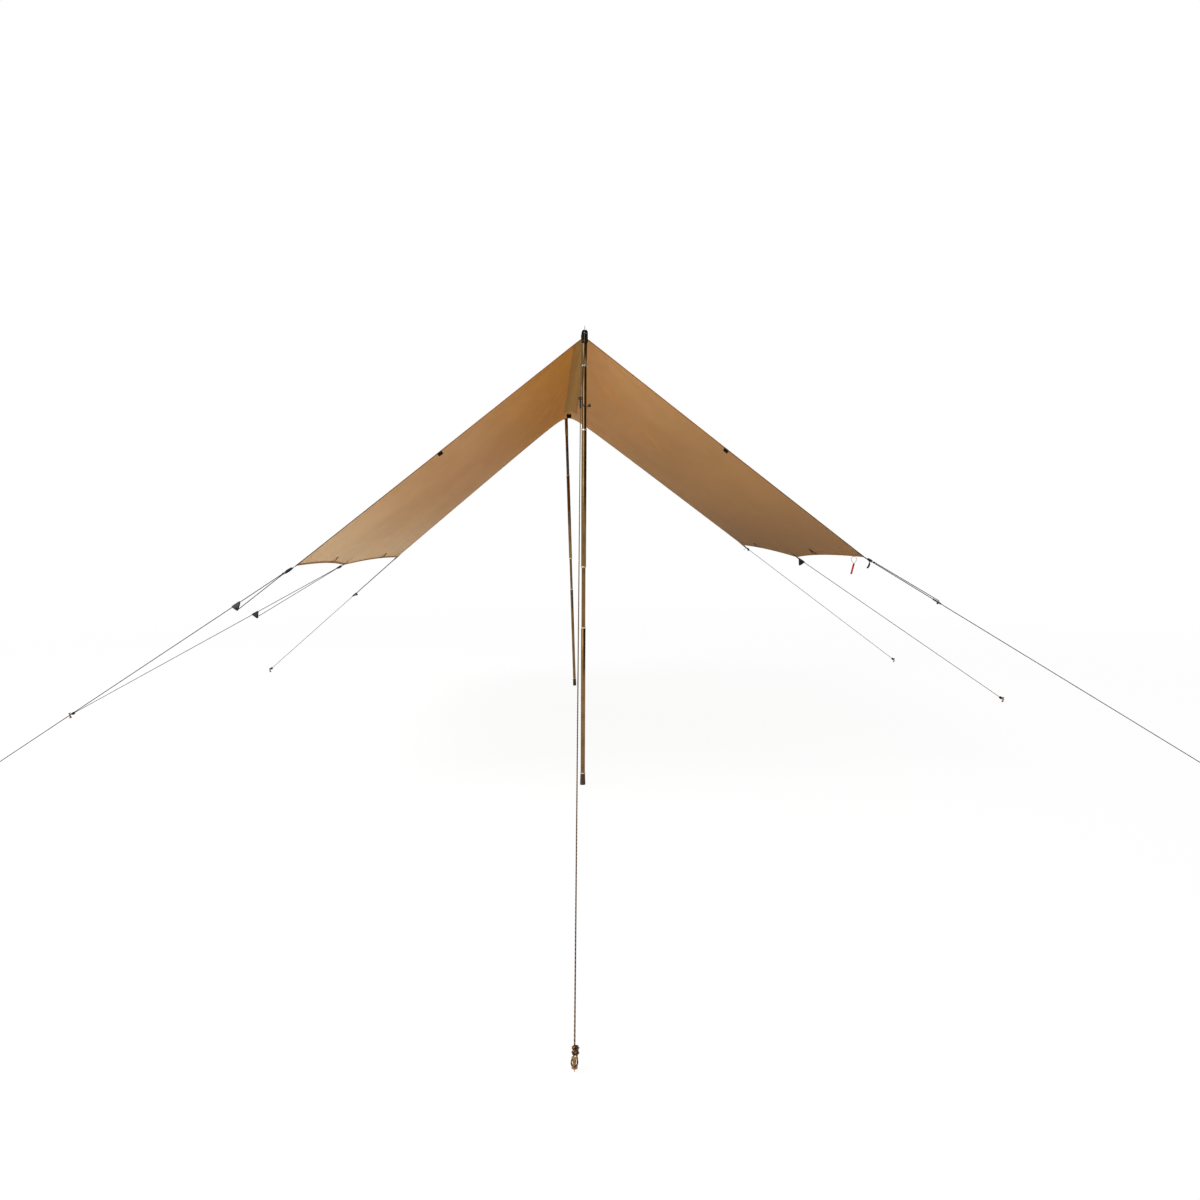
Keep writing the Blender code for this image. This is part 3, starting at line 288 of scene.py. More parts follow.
def makeMetal(name, dark, light, worn, metallic, rough):
    # Drawn metal with fine scratches along it
    surface = Surface(name)
    place = surface.place()
    drawn = surface.noise(700.0, 3.0, 0.6, place, (1.0, 1.0, 0.02))
    cloud = surface.noise(14.0, 3.0, 0.5, place).ramp(0.3, 0.7)
    scuff = surface.noise(160.0, 4.0, 0.7, place).ramp(0.62, 0.72)
    base = surface.mixed(scuff * 0.25, surface.mixed(cloud, dark, light), worn)
    surface.set(Base_Color=base, Metallic=metallic, Roughness=drawn * 0.12 + rough)
    return surface.bump(drawn, 0.0002, 0.25)


def makeMoulded(name, dark, light, rough):
    # Moulded plastic or rubber with a fine grain and rubbed spots
    surface = Surface(name)
    grain = surface.noise(1500.0, 2.0, 0.5)
    wear = surface.noise(60.0, 3.0, 0.6).ramp(0.5, 0.8)
    base = surface.mixed(wear * 0.5 + grain * 0.15, dark, light)
    surface.set(Base_Color=base, Roughness=rough + grain * 0.15, Specular_IOR_Level=0.4)
    return surface.bump(grain, 0.0003, 0.4)


clothLook = {  # the three colours of a side run from the ridge to the hem, as painted light: the left side lit orange at the ridge and paler towards its hem, the right side darker towards its hem
    "thread": 0.0011, "grid": 0.0075, "hemDark": 0.45, "through": 0.13, "glow": "c68c38",
    "left": ("c38834", "c89b69", "d3b58c"), "right": ("c9985f", "ae8453", "93704a"), "uneven": 0.20,
    "shade": "946030", "hem": "7d5222", "light": "c8a878", "creased": True, "crease": "d08c3c",
}
# The ridge strip's colours are darker and greyer than the canopy's: painted shade, for the light that the
# doubled cloth lets through less
stripLook = {
    **clothLook, "hemDark": 0.3, "through": 0.06, "glow": "a06a2e", "left": ("a2793a",) * 3,
    "right": ("a2793a",) * 3, "shade": "8e6634", "hem": "6b4a24", "light": "a5804f", "creased": False,
}
cordLook = {
    "lay": 0.0042, "strands": 4.0, "tracerLay": 0.012, "tracerShare": 0.4,
    "dark": "070606", "light": "1b1716", "tracer": "6e5436",
}
frontCordLook = {**cordLook, "tracerShare": 0.85, "dark": "24150c", "light": "442a1a", "tracer": "a07c50"}
tagCordLook = {
    "lay": 0.003, "strands": 3.0, "tracerLay": 0.02, "tracerShare": 0.2,
    "dark": "8c1228", "light": "b4304a", "tracer": "d88890",
}
clothMaterial = makeCloth("Tarp cloth", clothLook)
stripMaterial = makeCloth("Doubled cloth", stripLook)
webMaterial = makeWebbing("Black webbing", "060505", "1d1a18")
tagMaterial = makeWebbing("Red strap", "b00f22", "d0354a", rough=0.75)
cordMaterial = makeBraid("Guyline braid", cordLook)
frontCordMaterial = makeBraid("Front guyline braid", frontCordLook)
tagCordMaterial = makeBraid("Red braid", tagCordLook)
tubeMaterial = makeMetal("Anodised tube", "6c5430", "80653e", "a88e66", metallic=0.95, rough=0.13)
stemMaterial = makeMetal("Anodised stem", "66502e", "785f3a", "a0865e", metallic=0.95, rough=0.12)
ringMaterial = makeMetal("Bright ring", "c2b89e", "d8d0bc", "f0ead8", metallic=0.9, rough=0.22)
steelMaterial = makeMetal("Tip steel", "c8c8c4", "e0e0dc", "f2f2f0", metallic=1.0, rough=0.2)
eyeletMaterial = makeMetal("Dark eyelet", "3c3834", "544e48", "8a8278", metallic=0.9, rough=0.35)
pegMaterial = makeMetal("Anodised peg", "8a6434", "a87c48", "d0ac7c", metallic=0.75, rough=0.3)
runnerMaterial = makeMoulded("Runner plastic", "111112", "2e2d2c", rough=0.42)
rubberMaterial = makeMoulded("Foot rubber", "3a2618", "5a4230", rough=0.62)
print("materials made")


# Shapes

def link(mesh, material, body="root", replaced=()):
    mesh.materials.append(material)
    mesh.shade_smooth()
    mesh.set_sharp_from_angle(angle=radians(40))
    piece = bpy.data.objects.new(mesh.name, mesh)
    bpy.context.scene.collection.objects.link(piece)
    if body:
        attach(piece, body)
    if replaced:
        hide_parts(*replaced)
    return piece


def thicken(piece, thickness, offset=-1.0):
    modifier = piece.modifiers.new("thickness", "SOLIDIFY")
    modifier.thickness, modifier.offset = thickness, offset


def makeMesh(name, verts, faces, uvs=None):
    mesh = bpy.data.meshes.new(name)
    mesh.from_pydata(verts, [], faces)
    if uvs:
        layer = mesh.uv_layers.new(name="UVMap")
        for loop in mesh.loops:
            layer.data[loop.index].uv = uvs[loop.vertex_index]
    return mesh


def turnOutward(mesh, merge=None):
    # All faces turned outward, with points that lie together joined first
    bm = bmesh.new()
    bm.from_mesh(mesh)
    if merge:
        bmesh.ops.remove_doubles(bm, verts=bm.verts, dist=merge)
    bmesh.ops.recalc_face_normals(bm, faces=bm.faces)
    bm.to_mesh(mesh)
    bm.free()
    return mesh


def gridMesh(name, points, columns, rows, uvs, marks=None):
    # Quads over points that run column by column, with UVs in metres and a hem mark at each point
    wide = rows + 1
    corners = [i * wide + j for i in range(columns) for j in range(rows)]
    faces = [(a, a + wide, a + wide + 1, a + 1) for a in corners]
    mesh = makeMesh(name, points, faces, uvs)
    if marks:
        mesh.attributes.new("hemShare", "FLOAT", "POINT").data.foreach_set("value", marks)
    return mesh


def tubeMesh(name, points, radius, sides=12):
    # A round tube with domed ends, whose UV holds the turn and the metres along it
    verts, uvs, lengths = [], [], [0.0]
    for a, b in zip(points, points[1:]):
        lengths.append(lengths[-1] + (b - a).length)
    last, wide = len(points) - 1, sides + 1
    normal = (points[1] - points[0]).normalized().orthogonal().normalized()
    for k, point in enumerate(points):
        ahead = points[min(k + 1, last)] - points[max(k - 1, 0)]
        ahead.normalize()
        normal = (normal - ahead * normal.dot(ahead)).normalized()
        side = ahead.cross(normal)
        for turn in range(wide):
            angle = tau * turn / sides
            verts.append(point + normal * cos(angle) * radius + side * sin(angle) * radius)
            uvs.append((turn / sides, lengths[k]))
    corners = [k * wide + t for k in range(last) for t in range(sides)]
    faces = [(a, a + 1, a + wide + 1, a + wide) for a in corners]
    for k, ahead in ((0, points[0] - points[1]), (last, points[-1] - points[-2])):
        rim = [(k * wide + t, k * wide + t + 1) for t in range(sides)]
        faces += [(b, a, len(verts)) if k == 0 else (a, b, len(verts)) for a, b in rim]
        verts.append(points[k] + ahead.normalized() * radius * 0.5)
        uvs.append((0.5, lengths[k]))
    return turnOutward(makeMesh(name, verts, faces, uvs), 1e-6)


def strapMesh(name, path, across, width, thickness):
    # Webbing along a path with softened edges. Across is one way or one for each point.
    half, face = width / 2, thickness / 2
    flat, edge = half - thickness * 0.36, thickness * 0.14
    outline = [(-flat, -face), (flat, -face), (half, -edge), (half, edge),
               (flat, face), (-flat, face), (-half, edge), (-half, -edge)]
    verts, count, last = [], len(outline), len(path) - 1
    for k, point in enumerate(path):
        ahead = (path[min(k + 1, last)] - path[max(k - 1, 0)]).normalized()
        way = (across[k] if isinstance(across, list) else across).normalized()
        up = way.cross(ahead).normalized()
        verts += [point + way * x + up * z for x, z in outline]
    corners = [(k * count + t, k * count + (t + 1) % count) for k in range(last) for t in range(count)]
    faces = [(a, b, b + count, a + count) for a, b in corners]
    faces += [tuple(range(count))[::-1], tuple(last * count + t for t in range(count))]
    return turnOutward(makeMesh(name, verts, faces))


def turnedMesh(name, profile, sides=48, closed=True):
    # A body turned about Z from (radius, height) points
    verts = [(r * cos(tau * k / sides), r * sin(tau * k / sides), z)
             for r, z in profile for k in range(sides)]
    count = len(profile)
    rings = [(a * sides, (a + 1) % count * sides) for a in range(count if closed else count - 1)]
    faces = [(a + k, a + (k + 1) % sides, b + (k + 1) % sides, b + k) for a, b in rings for k in range(sides)]
    return turnOutward(makeMesh(name, verts, faces), 1e-7)


def smoothPath(points, steps):
    # A smooth curve through the points
    route = [points[0] * 2 - points[1], *points, points[-1] * 2 - points[-2]]
    made = [points[0].copy()]
    for p0, p1, p2, p3 in zip(route, route[1:], route[2:], route[3:]):
        t1 = (p2 - p0).normalized() * min((p1 - p0).length, (p2 - p1).length)
        t2 = (p3 - p1).normalized() * min((p2 - p1).length, (p3 - p2).length)
        for k in range(1, steps + 1):
            t = k / steps
            made.append(p1 * (2 * t**3 - 3 * t**2 + 1) + t1 * (t**3 - 2 * t**2 + t)
                        + p2 * (3 * t**2 - 2 * t**3) + t2 * (t**3 - t**2))
    return made


def lengthOf(points):
    return sum((b - a).length for a, b in zip(points, points[1:]))


# The cloth's surface: across runs from the ridge (0) to a side hem (1), along from front (0) to rear (1)

pucker = {"height": 0.006, "count": 5, "crest": 0.42, "spread": 0.34, "stretch": 1.25}
folds = [  # side, start and stop as (across, along), width and height
    (1, (0.085, 0.193), (0.290, 0.437), 0.030, 0.0040),
    (1, (0.055, 0.213), (0.140, 0.350), 0.026, -0.0030),
    (1, (0.255, 0.293), (0.365, 0.427), 0.030, 0.0036),
    (-1, (0.030, 0.343), (0.130, 0.580), 0.026, 0.0040),
    (-1, (0.050, 0.400), (0.175, 0.660), 0.030, -0.0034),
    (-1, (0.030, 0.480), (0.100, 0.787), 0.026, 0.0036),
    (-1, (0.300, 0.985), (0.460, 0.900), 0.030, 0.0060),
]
foldEnd = 0.15  # how far a fold fades out beyond its ends, as a share of its length


def sideOf(name):
    return -1 if name.startswith("left") else 1


def tiePoint(name):
    along = {"front": -0.5, "rear": 0.5, "side": 0.0}[name.split("_")[1]] * ridgeLength
    out = pitch["halfSpan"] + (pitch["sidePull"] if name.endswith("side") else 0.0)
    height = pitch["sideHeight"] if name.endswith("side") else pitch["cornerHeight"]
    return Vector((sideOf(name) * out, along, height)) + Vector(tieShift[name])


def ridgePoint(along):
    sag = pitch["ridgeSag"] * 4 * along * (1 - along)
    return Vector((0.0, ridgeLength * (along - 0.5), pitch["ridgeHeight"] - sag))


def hemPoint(side, along):
    prefix = "left" if side < 0 else "right"
    front, middle, rear = (tiePoint(f"{prefix}_{end}") for end in ("front", "side", "rear"))
    start, stop, share = (front, middle, along * 2) if along < 0.5 else (middle, rear, along * 2 - 1)
    inward = (ridgePoint(along) - middle).normalized()
    return start.lerp(stop, share) + inward * pitch["sideCut"] * 4 * share * (1 - share)


def foldHeight(side, across, along):
    total = 0.0
    for foldSide, start, stop, width, height in folds:
        if foldSide != side:
            continue
        startX, startY = start[0] * slope, start[1] * ridgeLength
        dx, dy = across * slope - startX, along * ridgeLength - startY
        sx, sy = stop[0] * slope - startX, stop[1] * ridgeLength - startY
        length = hypot(sx, sy)
        ux, uy = sx / length, sy / length
        share, off = (dx * ux + dy * uy) / length, -dx * uy + dy * ux
        if -foldEnd < share < 1 + foldEnd:
            fade = sin(pi * (share + foldEnd) / (1 + 2 * foldEnd)) ** 2
            total += height * fade * exp(-(off / width) ** 2)
    return total


def clothPoint(side, across, along, folded=True):
    ridge, hem = ridgePoint(along), hemPoint(side, along)
    point = ridge.lerp(hem, across)
    bow = 4 * across * (1 - across)
    point.y += pitch["frontCut"] * bow * (1 - along) ** 4
    point.z -= pitch["panelSag"] * bow * 4 * along * (1 - along)
    hems = [hemPoint(way, along) for way in (-1, 1)]
    steep = sum((ridge.z - h.z) / abs(h.x) for h in hems) / 2
    rounding = pitch["frontRound"] + (pitch["rearRound"] - pitch["frontRound"]) * along**1.5
    point.z -= steep * (hypot(point.x, rounding) - abs(point.x))
    for end in (0.0, 1.0):  # soft puckers that fan out from both ends of the ridge
        reach = abs(along - end) * ridgeLength
        distance = hypot(across * pitch["halfSpan"] * pucker["stretch"], reach)
        fan = cos(atan2(reach, across * pitch["halfSpan"]) * 2 * pucker["count"])
        crest = exp(-((distance - pucker["crest"]) / pucker["spread"]) ** 2)
        point.z += pucker["height"] * fan * crest * min(1.0, across * 6) * min(1.0, reach * 8)
    if folded:
        point.z += foldHeight(side, across, along)
    return point


def clothNormal(side, across, along, folded=True):
    step = 0.002
    lowA, highA = max(across - step, 0.0), min(across + step, 1.0)
    lowB, highB = max(along - step, 0.0), min(along + step, 1.0)
    if across <= step:
        return skyward
    over = clothPoint(side, highA, along, folded) - clothPoint(side, lowA, along, folded)
    down = clothPoint(side, across, highB, folded) - clothPoint(side, across, lowB, folded)
    normal = over.cross(down).normalized()
    return normal if normal.z > 0 else -normal


def under(point, depth):
    # The place at a depth below the cloth, straight under or over a point
    side = -1 if point.x < 0 else 1
    along = min(max(0.5 + point.y / ridgeLength, 0.0), 1.0)
    across = min(max(abs(point.x) / abs(hemPoint(side, along).x), 0.0), 1.0)
    return clothPoint(side, across, along) - clothNormal(side, across, along) * depth


# Canopy: one sheet from the left hem over the ridge to the right hem

canopy = {
    "columns": 84, "rows": 150, "thickness": 0.0006, "hem": 0.020, "ridgeBunch": 1.35, "endBunch": 0.35,
}


def makeCanopy():
    half, rows, bunch = canopy["columns"], canopy["rows"], canopy["endBunch"]
    shares = [(k / half) ** canopy["ridgeBunch"] for k in range(half + 1)]
    points, marks, uvs = [], [], []
    for side, across in [(-1, s) for s in reversed(shares[1:])] + [(1, s) for s in shares]:
        for j in range(rows + 1):
            along = 0.5 - 0.5 * cos(pi * j / rows)
            along = min(max(bunch * along + (1 - bunch) * j / rows, 0.0), 1.0)
            fromEdge = min((1 - across) * slope, min(along, 1 - along) * ridgeLength)
            points.append(clothPoint(side, across, along))
            marks.append(1.0 if fromEdge < canopy["hem"] else 0.0)
            uvs.append((side * across * slope, along * ridgeLength))
    mesh = gridMesh("canopy", points, 2 * half, rows, uvs, marks)
    piece = link(mesh, clothMaterial, replaced=("left_panel", "right_panel"))
    thicken(piece, canopy["thickness"])
    return piece


# Hems: a second layer below the cloth, rolled over its edge

hem = {
    "counts": {"front": 150, "rear": 150, "left": 110, "right": 110},
    "profile": [  # inward from the edge, and above the cloth
        (0.0200, -0.0007), (0.0200, -0.0012), (0.0190, -0.0015), (0.0015, -0.0016), (0.0002, -0.0013),
        (-0.0005, -0.0005), (-0.0004, 0.0002), (0.0006, 0.0005), (0.0025, 0.0004), (0.0030, 0.0001)],
    "stitchRows": (0.0165, 0.0030), "stitch": 0.0042, "pucker": 0.021, "thread": 0.0011,
    "dark": "94642a", "light": "a8743a", "stitchColour": "5e4019", "threadColour": "b48850",
}


def edgeLine(edge):
    # Points along one edge of the tarp with the way in and the normal
    made, count = [], hem["counts"][edge]
    for k in range(count + 1):
        t = k / count
        if edge in ("left", "right"):
            side = -1 if edge == "left" else 1
            point, inner = clothPoint(side, 1.0, t), clothPoint(side, 0.985, t)
            normal = clothNormal(side, 0.999, t)
        else:
            end = 0.0 if edge == "front" else 1.0
            side, across = (-1, 1 - 2 * t) if t < 0.5 else (1, 2 * t - 1)
            point, inner = clothPoint(side, across, end), clothPoint(side, across, abs(end - 0.01))
            normal = clothNormal(side, across, end) if across >= 0.006 else skyward
        way = inner - point
        made.append((point, (way - normal * way.dot(normal)).normalized(), normal))
    return made


def makeHemMaterial(name, near, far):
    # Hem cloth with two rows of stitches. Its edge fades from the ridge outward.
    surface = Surface(name)
    across, along = surface.uv()
    dashes = wave(along, hem["stitch"]).ramp(-0.25, 0.05)
    outer, inner = ((across - row).math("ABSOLUTE").ramp(0.0004, 0.0009, 1.0, 0.0)
                    for row in hem["stitchRows"])
    stitch = outer.math("MAXIMUM", inner) * dashes
    puckered = wave(along, hem["pucker"]) * 0.5 + surface.noise(45.0, 3.0, 0.6)
    threads = weave(across, along, hem["thread"])
    broad = surface.noise(7.0, 3.0, 0.55).ramp(0.3, 0.7)
    fade = (along - slope).math("ABSOLUTE").ramp(0.7, 1.7)
    base = surface.mixed(broad, hem["dark"], hem["light"])
    base = surface.mixed(across.ramp(0.013, 0.018, 1.0, 0.0) * 0.9, base,
                         surface.mixed(fade, near, far))
    base = surface.mixed(stitch * 0.7, base, hem["stitchColour"])
    base = surface.mixed(threads * 0.1, base, hem["threadColour"])
    surface.set(Base_Color=base, Roughness=0.78 + threads * 0.1, Specular_IOR_Level=0.25)
    return surface.bump(puckered * 0.8 + threads * 0.05 - stitch * 0.3, 0.0010, 0.4)


def makeHem(edge, material):
    edgePoints = edgeLine(edge)
    points, uvs, run = [], [], 0.0
    for k, (point, way, normal) in enumerate(edgePoints):
        if k:
            run += (point - edgePoints[k - 1][0]).length
        points += [point + way * inward + normal * above for inward, above in hem["profile"]]
        uvs += [(inward, run) for inward, _ in hem["profile"]]
    mesh = gridMesh(f"{edge}_hem", points, hem["counts"][edge], len(hem["profile"]) - 1, uvs)
    return link(mesh, material)


frontHemMaterial = makeHemMaterial("Front hem", "96580f", "4a3c26")
rearHemMaterial = makeHemMaterial("Rear hem", "4a3c26", "4a3c26")
sideHemMaterial = makeHemMaterial("Side hem", "80521e", "80521e")
canopyPiece = makeCanopy()
hemPieces = [makeHem(edge, material) for edge, material in (
    ("front", frontHemMaterial), ("rear", rearHemMaterial), ("left", sideHemMaterial),
    ("right", sideHemMaterial))]
print("canopy made", len(canopyPiece.data.vertices))


# Ridge strip with its hang loop

strip = {  # left and right edge at the front and at the rear, then the rest in metres
    "left": (-0.057, -0.045), "right": (0.022, 0.060), "margin": 0.004, "fromRear": 0.44,
    "columns": 16, "rows": 150, "depth": 0.0022, "thickness": 0.0005, "pucker": 0.0006, "edge": 0.014,
}
hangTab = {"fromRear": 0.28, "width": 0.040, "drop": 0.027, "sewn": 0.016}


def makeRidgeStrip():
    front = strip["margin"] - ridgeLength / 2
    rear = ridgeLength / 2 - strip["fromRear"]
    points, uvs, marks = [], [], []
    for i in range(strip["columns"] + 1):
        for j in range(strip["rows"] + 1):
            back = j / strip["rows"]
            y = front + (rear - front) * back
            low, high = (a + (b - a) * back for a, b in (strip["left"], strip["right"]))
            x = low + (high - low) * i / strip["columns"]
            edge = min(1.0, min(x - low, high - x, (rear - y) * 2) / strip["edge"])
            puckered = strip["pucker"] * edge * sin(y * 61 + x * 90) * sin(y * 23 + 1.0)
            depth = strip["depth"] + puckered - strip["pucker"]
            points.append(under(Vector((x or 1e-6, y, 0.0)), depth))
            uvs.append((x, y))
            marks.append(1.0 - edge if edge < 1 else 0.0)
    mesh = gridMesh("ridge_strip_cloth", points, strip["columns"], strip["rows"], uvs, marks)
    piece = link(mesh, stripMaterial, replaced=("ridge_strip",))
    thicken(piece, strip["thickness"])
    return piece


def makeHangTab():
    y = ridgeLength / 2 - hangTab["fromRear"]
    low, path = hangTab["drop"], []
    for share in (1.0, 0.5, 0.0):
        edges = [Vector((x * hangTab["width"], y - hangTab["sewn"] * share, 0.0)) for x in (-0.5, 0.5)]
        height = min(under(edge, strip["depth"] + 0.001).z for edge in edges)
        path.append(Vector((0.0, edges[0].y, height)))
    top = path.pop()
    for back, drop in ((0.0, 0.0022), (0.0012, 0.0060), (0.0014, low * 0.5), (0.0006, low - 0.003),
                       (0.0020, low), (0.0040, low - 0.003), (0.0036, low * 0.5), (0.0030, 0.0050)):
        path.append(top + Vector((0.0, back, -drop)))
    across = Vector((1, 0, 0))
    link(strapMesh("hang_tab", smoothPath(path, 4), across, hangTab["width"], webbing), webMaterial)


stripPiece = makeRidgeStrip()
makeHangTab()
print("ridge strip made")


# Ties, patches and guylines

guylines = {  # the peg's place, the runner's distance from the tie and its roll in degrees
    "front": ((-0.164, -4.075), 0.555, 0),
    "left_front": ((-3.492, -1.250), 0.315, 40),
    "left_side": ((-3.879, 0.488), 0.725, 10),
    "left_rear": ((-3.013, 2.537), 0.620, -75),
    "right_front": ((3.583, -1.810), 0.421, -80),
    "right_side": ((3.543, 0.468), 0.034, -15),
    "right_rear": ((3.519, 2.602), 0.045, -80),
}
tie = {
    "sewn": 0.045, "stitched": 0.041, "width": 0.020, "hoodWidth": 0.012, "eye": 0.0038,
    "depth": 0.0029, "roll": 38,
    "reach": {"front": 0.030, "left_front": 0.080, "left_side": 0.050, "left_rear": 0.030,
              "right_front": 0.058, "right_side": 0.022, "right_rear": 0.030},
    "hoodLeg": 0.0170, "hoodEdge": 0.027, "hoodCrown": 2.4985, "hoodDrop": 0.047,
}
tail = {"right_front": 0.052, "right_rear": 0.036, "bulge": 0.012, "steps": 14}
patch = {"corner": 0.150, "side": 0.090, "inset": 0.022, "steps": 10, "depth": 0.0014, "thickness": 0.0005}
line = {
    "radius": 0.0022, "loopHeight": 0.0215, "loopRadius": 0.0080, "loopLength": 0.026,
    "runnerEye": 0.029, "runnerDrop": 0.041, "runnerThickness": 0.009, "tail": 0.006, "ball": 0.0085,
    "turnOut": 0.009, "leadIn": 0.03, "knotBack": 0.006, "knotAside": 0.0023, "blendBack": 0.012,
}
pegKnot = {"turns": 5.5, "wrap": 0.023, "radius": 0.0066, "lobes": 2, "waist": 0.24, "oval": 1.15}
endKnot = {**pegKnot, "turns": 2.5, "wrap": 0.0080, "radius": 0.0030, "lobes": 1}


def tieSize(name):
    return tie["hoodWidth"] if name == "front" else tie["width"], tie["reach"][name]


def guyFrame(name):
    # The tie's point, the cloth's normal, the ways out and across, and the loop round the peg
    loop = Vector((*guylines[name][0], line["loopHeight"]))
    if name == "front":
        edge = -ridgeLength / 2 - pitch["setback"] - tie["hoodEdge"]
        start = Vector((tie["hoodWidth"] / 2 - tie["hoodLeg"] + 0.0004, edge + webbing / 2 + 0.0002,
                        tie["hoodCrown"] - tie["hoodDrop"]))
        normal = skyward
    else:
        start = tiePoint(name)
        along = {"front": 0.012, "rear": 0.988, "side": 0.5}[name.split("_")[1]]
        normal = clothNormal(sideOf(name), 0.99, along, folded=False)
    outward = (loop - start).normalized()
    return start, normal, outward, normal.cross(outward).normalized(), loop


def eyeOf(name):
    start, _, outward, _, _ = guyFrame(name)
    return start + outward * tieSize(name)[1]


def strandWay(name):
    # From a tie's middle to the main strand
    across = guyFrame(name)[3] * (-1 if name == "front" else 1)
    return across, tieSize(name)[0] / 2 + line["radius"] + 0.0010


def lineFrame(name):
    across, offset = strandWay(name)
    origin, loop = eyeOf(name) + across * offset, guyFrame(name)[4]
    along = (loop - origin).normalized()
    side = (across - along * across.dot(along)).normalized()
    return origin, along, side, along.cross(side), (loop - origin).length


def runnerFrame(name):
    # Where a runner sits on its line, with its rolled ways across and up
    origin, along, side, up, _ = lineFrame(name)
    _, at, degrees = guylines[name]
    turn = radians(degrees)
    return (origin + along * at, along, side * cos(turn) + up * sin(turn),
            up * cos(turn) - side * sin(turn))


def eyeTurn(name, sideways):
    outward, width = guyFrame(name)[2], tieSize(name)[0]
    turns = ((-0.0020, 0.0), (0.0014, 0.0003), (0.0027, 0.0018))
    return [eyeOf(name) + sideways * (width / 2 + beside) + outward * ahead for beside, ahead in turns]


def mainRoute(name):
    origin, along, side, _, length = lineFrame(name)
    clear, wide, far = 2 * line["radius"] + gap, line["loopRadius"], line["loopLength"]
    turn = [eyeOf(name), *eyeTurn(name, strandWay(name)[0]), origin + along * line["turnOut"]]
    first = line["leadIn"]
    straight = [origin + along * (first + (length - far - first) * k / 9) for k in range(10)]
    loop = ((-0.77 * far, 0.0010), (-0.50 * far, wide * 0.60), (-0.19 * far, wide * 0.98),
            (0.12 * far, wide * 0.88), (wide, 0.0), (0.12 * far, -wide * 0.88), (-0.19 * far, -wide),
            (-0.50 * far, -wide * 0.88), (-0.77 * far, -clear - 0.0005), (-far, -clear))
    return turn + straight + [origin + along * (length + ahead) + side * out for ahead, out in loop]


def returnRoute(name):
    outward = guyFrame(name)[2]
    across, offset = strandWay(name)
    place, along, side, up = runnerFrame(name)
    eye, hole = eyeOf(name), place - up * line["runnerEye"]
    face, radius = line["runnerThickness"] / 2, line["radius"]
    near = hole - side * (face + radius + 0.0023)
    leave = eye - across * offset + outward * line["turnOut"]
    reach = near - along * 0.007 - leave
    route = [eye, *eyeTurn(name, -across)]
    route += [leave + reach * share for share in (0.0, 0.25, 0.5, 0.75, 1.0)]
    route += [near + side * 0.0014, hole, hole + side * (face + 0.001)]
    if name != "front":
        return [*route, hole + side * (face + line["tail"] * 0.5)]
    # The front line's end turns round the runner's corner and hangs in a hook
    beyond = line["runnerDrop"] - line["runnerEye"] + radius + 0.0012
    beside = face + radius + 0.0020
    for out, below, ahead in ((1.0, 0.006, 0.003), (0.55, beyond, 0.004), (-0.35, beyond, 0.004),
                              (-1.15, beyond * 0.75, 0.004)):
        route.append(hole + side * beside * out - up * below + along * ahead)
    for out, drop in ((0.0105, 0.014), (0.0120, 0.030), (0.0180, 0.043), (0.0270, 0.046), (0.0370, 0.041)):
        route.append(hole - side * out - up * beyond * 0.6 - Vector((0.0, 0.0, drop)))
    return route


def makeTie(name):
    # The webbing loop under a hem, whose face rolls a little between the hem and its eye
    start, normal, outward, across, _ = guyFrame(name)
    width, reach = tieSize(name)
    depth, eye = tie["depth"], tie["eye"]
    tangent = (outward - normal * normal.dot(outward)).normalized()
    lift = outward.cross(normal.cross(outward)).normalized()
    path = [under(start - tangent * (tie["sewn"] - tie["stitched"] * k / 4), depth) for k in range(5)]
    path.append(start + outward * 0.005 - normal * depth)
    roll = radians(tie["roll"]) * min(1.0, reach / 0.05) * (-1 if across.y > 0 else 1)
    ways = [across] * len(path)

    def along(share, height):
        angle = roll * sin(pi * min(max((share - 0.12) / 0.80, 0.0), 1.0)) ** 0.6
        path.append(start + outward * (reach * share) + lift * height)
        ways.append(across * cos(angle) - lift * sin(angle))

    for share in (0.2, 0.3, 0.4, 0.55, 0.7, 0.8, 0.87):
        along(share, -depth + (depth - eye) * share)
    for k in range(10):
        t = pi * (k / 9 - 0.5)
        path.append(eyeOf(name) + outward * eye * cos(t) + lift * eye * sin(t))
        ways.append(across)
    level = webbing + gap - depth
    for share in (0.87, 0.8, 0.7, 0.55, 0.4, 0.3):
        along(share, level + (eye - level) * share)
    mesh = strapMesh(f"{name}_tie_strap", path, ways, width, webbing)
    link(mesh, webMaterial, replaced=(f"{name}_tie",))


def makeTail(name):
    # The loose end of a tie, bowed and turned to the front
    start, normal, outward, across, _ = guyFrame(name)
    flat = Vector((outward.x, outward.y, 0.0)).normalized()
    broad = (flat * 0.75 + across * 0.66).normalized()
    away = broad.cross(skyward) * (-1 if across.y < 0 else 1)
    root = start + outward * 0.016 - normal * (tie["depth"] + webbing / 2)
    path, ways = [root - outward * 0.010, root - outward * 0.001], [across, across]
    for k in range(1, tail["steps"] + 1):
        t = k / tail["steps"]
        swing = away * tail["bulge"] * sin(3.3 * t) + flat * 0.004 * min(1.0, t * 8)
        path.append(root + swing - Vector((0, 0, tail[name] * t)))
        ways.append(across.lerp(broad, min(1.0, t * 1.6)).normalized())
    link(strapMesh(f"{name}_tie_tail", path, ways, tie["width"] - 0.002, webbing), webMaterial)


